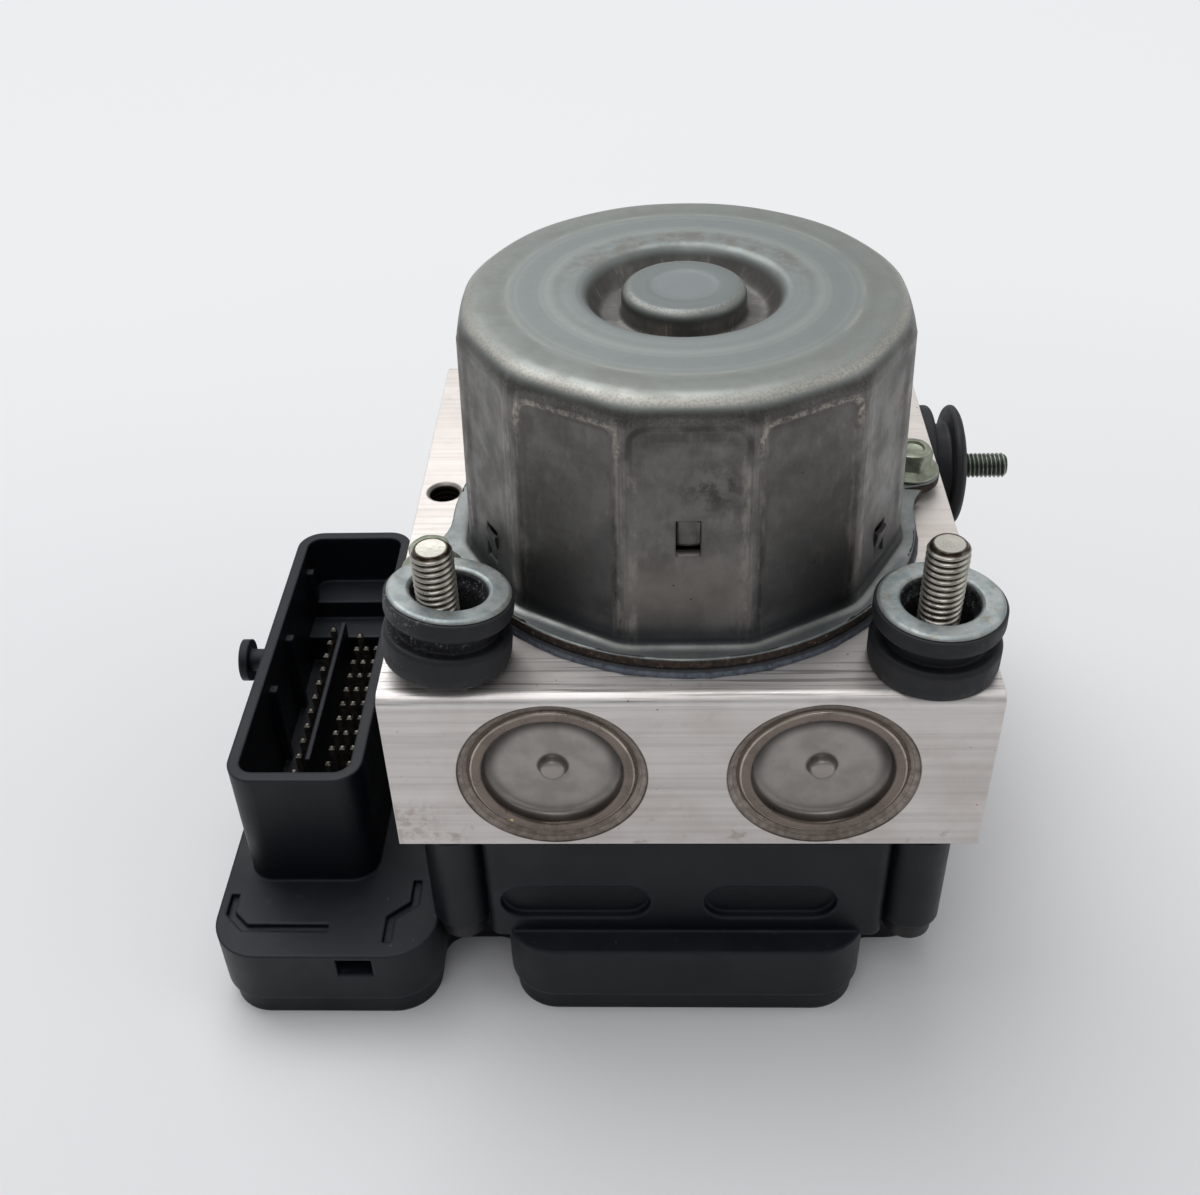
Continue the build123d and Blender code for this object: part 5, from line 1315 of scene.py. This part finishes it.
class MODULE_OT_grommets(BuildStep, bpy.types.Operator):
    """Rubber bushes, washers and threaded studs"""
    bl_idname = "module.grommets"
    bl_label = "Grommets and studs"

    def build(self):
        size = sizes()
        rubber = rubber_finish()
        for name, place in (("grommet_left", cocked_place()), ("grommet_right", upright_place())):
            fit(build_grommet(name + "_bush", place, rubber), name)
        fit(build_side_grommet(rubber), "grommet_side")
        zinc = washer_finish()
        for name, place in (("washer_left", cocked_place()), ("washer_right", upright_place())):
            fit(build_washer(name, place, zinc), "grommet_washers")
        self.build_studs(size)

    def build_studs(self, size):
        """The two upright studs and the one in the side face."""
        stud_high = limits("mount_studs")[1]
        right = middle("grommet_right")
        depth = size.thread_depth
        zinc = thread_finish("stud_thread", colours().stud, tone(62, 51, 42), False, STUD_RADIUS, depth)
        base = BLOCK_HIGH.z - 4.0 * MM
        for name, side in (("stud_left", -1), ("stud_right", 1)):
            place = Matrix.Translation((side * right.x, right.y, base))
            stud = build_stud(name, place, STUD_RADIUS, stud_high.z - base, size.thread_pitch, depth, zinc)
            fit(stud, "mount_studs")
        centre = middle("grommet_side")
        depth = size.side_pitch * 0.5
        dull = thread_finish("side_stud_thread", tone(134, 142, 132), tone(70, 74, 66), True,
                             SIDE_STUD_RADIUS, depth)
        start = BLOCK_HIGH.x - 2.0 * MM
        stud = build_stud("stud_side", along_x(start, centre.y, centre.z), SIDE_STUD_RADIUS,
                          stud_high.x - start, size.side_pitch, depth, dull)
        fit(stud, "mount_studs")


class MODULE_OT_control_unit(BuildStep, bpy.types.Operator):
    """Finishes of the control unit, its pins and its inside"""
    bl_idname = "module.control_unit"
    bl_label = "Control unit"

    def build(self):
        soft = sizes().edge_soft
        base = tuple(colours().plastic)
        dress(plastic_finish("moulded_housing", base, soft), "ecu_housing")
        dress(plastic_finish("moulded_cover", shade(base, 0.8), soft), "ecu_cover")
        dress_all(UNIT_FINISHES)


class MODULE_OT_inside(BuildStep, bpy.types.Operator):
    """Finishes of the pieces inside block and motor"""
    bl_idname = "module.inside"
    bl_label = "Inner pieces"

    def build(self):
        dress_all(INNER_FINISHES)


def dress_all(finishes):
    """Give each row's nodes a plain finish: name, two tones, roughness, metal, grain size, nodes."""
    for name, first, second, roughness, metallic, grain, nodes in finishes:
        dress(plain_finish(name, first, second, roughness, metallic, grain * MM), *nodes)


UNIT_FINISHES = (
    ("vent_membrane", (176, 176, 174), (150, 150, 148), 0.7, 0.0, 2.0, ("pressure_vent",)),
    ("tinned_pins", (118, 114, 108), (72, 66, 58), 0.42, 0.85, 0.8, ("connector_pins",)),
    ("solder_mask", (30, 84, 52), (22, 66, 42), 0.35, 0.0, 6.0, ("circuit_board",)),
    ("unit_seal", (40, 42, 44), (28, 28, 30), 0.6, 0.0, 2.0, ("ecu_gasket",)),
    ("unit_screws", (48, 48, 50), (34, 33, 34), 0.5, 0.4, 2.0, ("ecu_screws",)),
    ("coil_bodies", (44, 44, 48), (60, 60, 62), 0.5, 0.0, 2.0, ("inlet_valve_coils", "outlet_valve_coils")),
)
INNER_FINISHES = (
    ("ground_steel", (178, 178, 176), (140, 140, 138), 0.28, 0.95, 2.0,
     ("motor_end_plate", "motor_shaft", "eccentric", "needles", "needle_ring", "bearing_outer_rings",
      "bearing_inner_rings", "bearing_balls", "inlet_valve_cartridges", "outlet_valve_cartridges")),
    ("spring_wire", (150, 150, 150), (96, 96, 98), 0.35, 0.9, 1.0,
     ("accumulator_spring_left", "accumulator_spring_right", "pump_spring_left", "pump_spring_right",
      "brush_springs")),
    ("anodised_pistons", (150, 146, 132), (118, 114, 100), 0.4, 0.6, 2.0,
     ("accumulator_piston_left", "accumulator_piston_right", "pump_piston_left", "pump_piston_right")),
    ("ring_seals", (34, 34, 36), (22, 22, 24), 0.5, 0.0, 1.0,
     ("accumulator_seal_left", "accumulator_seal_right")),
    ("turned_plugs", (164, 160, 152), (120, 116, 108), 0.36, 0.85, 2.0,
     ("pump_sleeves", "pump_plugs", "passage_plugs")),
    ("ferrite", (52, 52, 54), (36, 36, 38), 0.6, 0.1, 2.0, ("motor_magnets",)),
    ("stamped_iron", (120, 120, 122), (86, 84, 84), 0.5, 0.7, 2.0,
     ("lamination_stack", *(f"{kind}_armature_{number}" for kind in ("inlet", "outlet")
                            for number in range(1, 5)))),
    ("enamelled_wire", (166, 86, 40), (112, 52, 24), 0.35, 0.6, 0.7, ("windings",)),
    ("copper", (196, 122, 82), (140, 84, 56), 0.3, 0.9, 1.0, ("commutator", "motor_contact_blades")),
    ("card_plastic", (48, 48, 50), (36, 36, 38), 0.5, 0.0, 2.0, ("brush_card",)),
    ("carbon", (44, 44, 46), (26, 26, 28), 0.6, 0.1, 0.8, ("carbon_brushes",)),
)


def build_floor():
    """Large pale table under the module."""
    reach = 3.0
    below = -0.00005
    f = Finish("pale_table")
    f.colour = f.mix(f.band(f.noise(0.35, 3.0, 0.5), 0.3, 0.7), colours().floor, tone(238, 238, 240))
    table = f.finish(0.75, 0.0, specular=0.1)
    glow = f.node("ShaderNodeEmission")
    f.link(tone(239, 240, 242), glow.inputs["Color"])
    both = f.node("ShaderNodeMixShader")
    path = f.node("ShaderNodeLightPath")
    away = f.away(f.x, 0.0, f.y, -0.13)
    f.link(f.times(f.band(away, 0.11, 0.42, 0.0, 0.88), seen_rays(f.tree, path)), both.inputs[0])
    f.link(f.shader.outputs[0], both.inputs[1])
    f.link(glow.outputs[0], both.inputs[2])
    f.link(both.outputs[0], f.tree.nodes["Material Output"].inputs[0])
    corners = [(x, y, below) for x, y in ((-reach, -reach), (reach, -reach), (reach, reach), (-reach, reach))]
    new_piece("table_top", corners, [(0, 1, 2, 3)], table, smooth=False)


def seen_rays(tree, path):
    """One for rays that the camera sees directly, in a reflection or through glass."""
    total = path.outputs["Is Camera Ray"]
    for kind in ("Is Glossy Ray", "Is Transmission Ray"):
        either = tree.nodes.new("ShaderNodeMath")
        either.operation = "MAXIMUM"
        tree.links.new(total, either.inputs[0])
        tree.links.new(path.outputs[kind], either.inputs[1])
        total = either.outputs[0]
    return total


def build_world():
    """Pale room: plain for the camera and for reflections, soft above for light."""
    world = bpy.data.worlds.new("pale_room")
    bpy.context.scene.world = world
    world.use_nodes = True
    tree = world.node_tree
    tree.nodes.clear()
    out, light, seen, mix, path, coords, ramp, lean = (tree.nodes.new("ShaderNode" + kind) for kind in (
        "OutputWorld", "Background", "Background", "MixShader", "LightPath", "TexCoord", "MapRange",
        "VectorMath"))
    light.inputs["Strength"].default_value = 0.27
    light.inputs["Color"].default_value = (0.95, 0.97, 1.0, 1.0)
    lean.operation = "DOT_PRODUCT"
    lean.inputs[1].default_value = (0.0, 0.62, 0.78)
    for limit, value in (("From Min", 0.1), ("From Max", 0.9), ("To Min", 0.16), ("To Max", 0.95)):
        ramp.inputs[limit].default_value = value
    for source, target in ((coords.outputs["Generated"], lean.inputs[0]),
                           (lean.outputs["Value"], ramp.inputs["Value"]),
                           (ramp.outputs[0], seen.inputs["Strength"]),
                           (seen_rays(tree, path), mix.inputs[0]),
                           (light.outputs[0], mix.inputs[1]),
                           (seen.outputs[0], mix.inputs[2]),
                           (mix.outputs[0], out.inputs[0])):
        tree.links.new(source, target)


def build_lamps():
    """Large soft lamp above and behind, a weaker one from the front left."""
    target = Vector((0, 0, 0.05))
    lamps = (("window_above", (-0.25, 0.32, 0.95), 0.9, 6.6), ("fill_front", (-0.12, -0.55, 0.95), 0.6, 1.7),
             ("fill_right", (0.75, -0.15, 0.55), 0.6, 0.8))
    for name, place, width, power in lamps:
        data = bpy.data.lights.new(name, "AREA")
        data.shape = "SQUARE"
        data.size = width
        data.energy = power
        lamp = bpy.data.objects.new(name, data)
        lamp.location = place
        lamp.rotation_euler = (target - Vector(place)).to_track_quat("-Z", "Y").to_euler()
        bpy.context.scene.collection.objects.link(lamp)


CAMERA_PLACE = Vector((-5.0, -190.3, 197.4)) * MM
CAMERA_PITCH = 38.28
CAMERA_YAW = 2.73
CAMERA_ROLL = -2.12
FOCAL_PIXELS = 1382.0
PHOTO_WIDTH = 1200.0
SENSOR = 36.0


def build_camera():
    """Camera fitted to the photograph's edges and circles."""
    data = bpy.data.cameras.new("photo_camera")
    data.sensor_width = SENSOR
    data.lens = FOCAL_PIXELS / PHOTO_WIDTH * SENSOR
    data.clip_start = 0.01
    camera = bpy.data.objects.new("photo_camera", data)
    level = Matrix(((1, 0, 0), (0, 0, -1), (0, 1, 0)))
    roll = Matrix.Rotation(math.radians(CAMERA_ROLL), 3, "Z")
    pitch = Matrix.Rotation(math.radians(CAMERA_PITCH), 3, "X")
    yaw = Matrix.Rotation(math.radians(CAMERA_YAW), 3, "Y")
    looking = roll @ pitch @ yaw @ level
    axes = Matrix((looking[0], -looking[1], -looking[2])).transposed()
    camera.matrix_world = Matrix.Translation(CAMERA_PLACE) @ axes.to_4x4()
    bpy.context.scene.collection.objects.link(camera)
    bpy.context.scene.camera = camera
    bpy.context.scene.view_settings.view_transform = "Standard"


STEPS = (MODULE_OT_stage, MODULE_OT_block, MODULE_OT_motor, MODULE_OT_caps, MODULE_OT_grommets,
         MODULE_OT_control_unit, MODULE_OT_inside)


class MODULE_PT_panel(bpy.types.Panel):
    """Lists the building steps with their sizes and colours"""
    bl_idname = "MODULE_PT_panel"
    bl_label = "Brake Module"
    bl_space_type = "VIEW_3D"
    bl_region_type = "UI"
    bl_category = "Brake Module"

    def draw(self, context):
        """Draw the steps, sizes and colours."""
        for step in STEPS:
            self.layout.operator(step.bl_idname)
        for group in (context.scene.module_sizes, context.scene.module_colours):
            box = self.layout.box()
            for name in group.__annotations__:
                box.prop(group, name)


CLASSES = (ModuleSizes, ModuleColours) + STEPS + (MODULE_PT_panel,)


def register():
    """Register the classes and their settings."""
    for item in CLASSES:
        bpy.utils.register_class(item)
    bpy.types.Scene.module_sizes = PointerProperty(type=ModuleSizes)
    bpy.types.Scene.module_colours = PointerProperty(type=ModuleColours)


def unregister():
    """Remove the settings and the classes."""
    del bpy.types.Scene.module_colours
    del bpy.types.Scene.module_sizes
    for item in reversed(CLASSES):
        bpy.utils.unregister_class(item)


def main():
    """Build every step in order."""
    register()
    for step in STEPS:
        family, name = step.bl_idname.split(".")
        getattr(getattr(bpy.ops, family), name)()


if __name__ == "__main__":
    main()
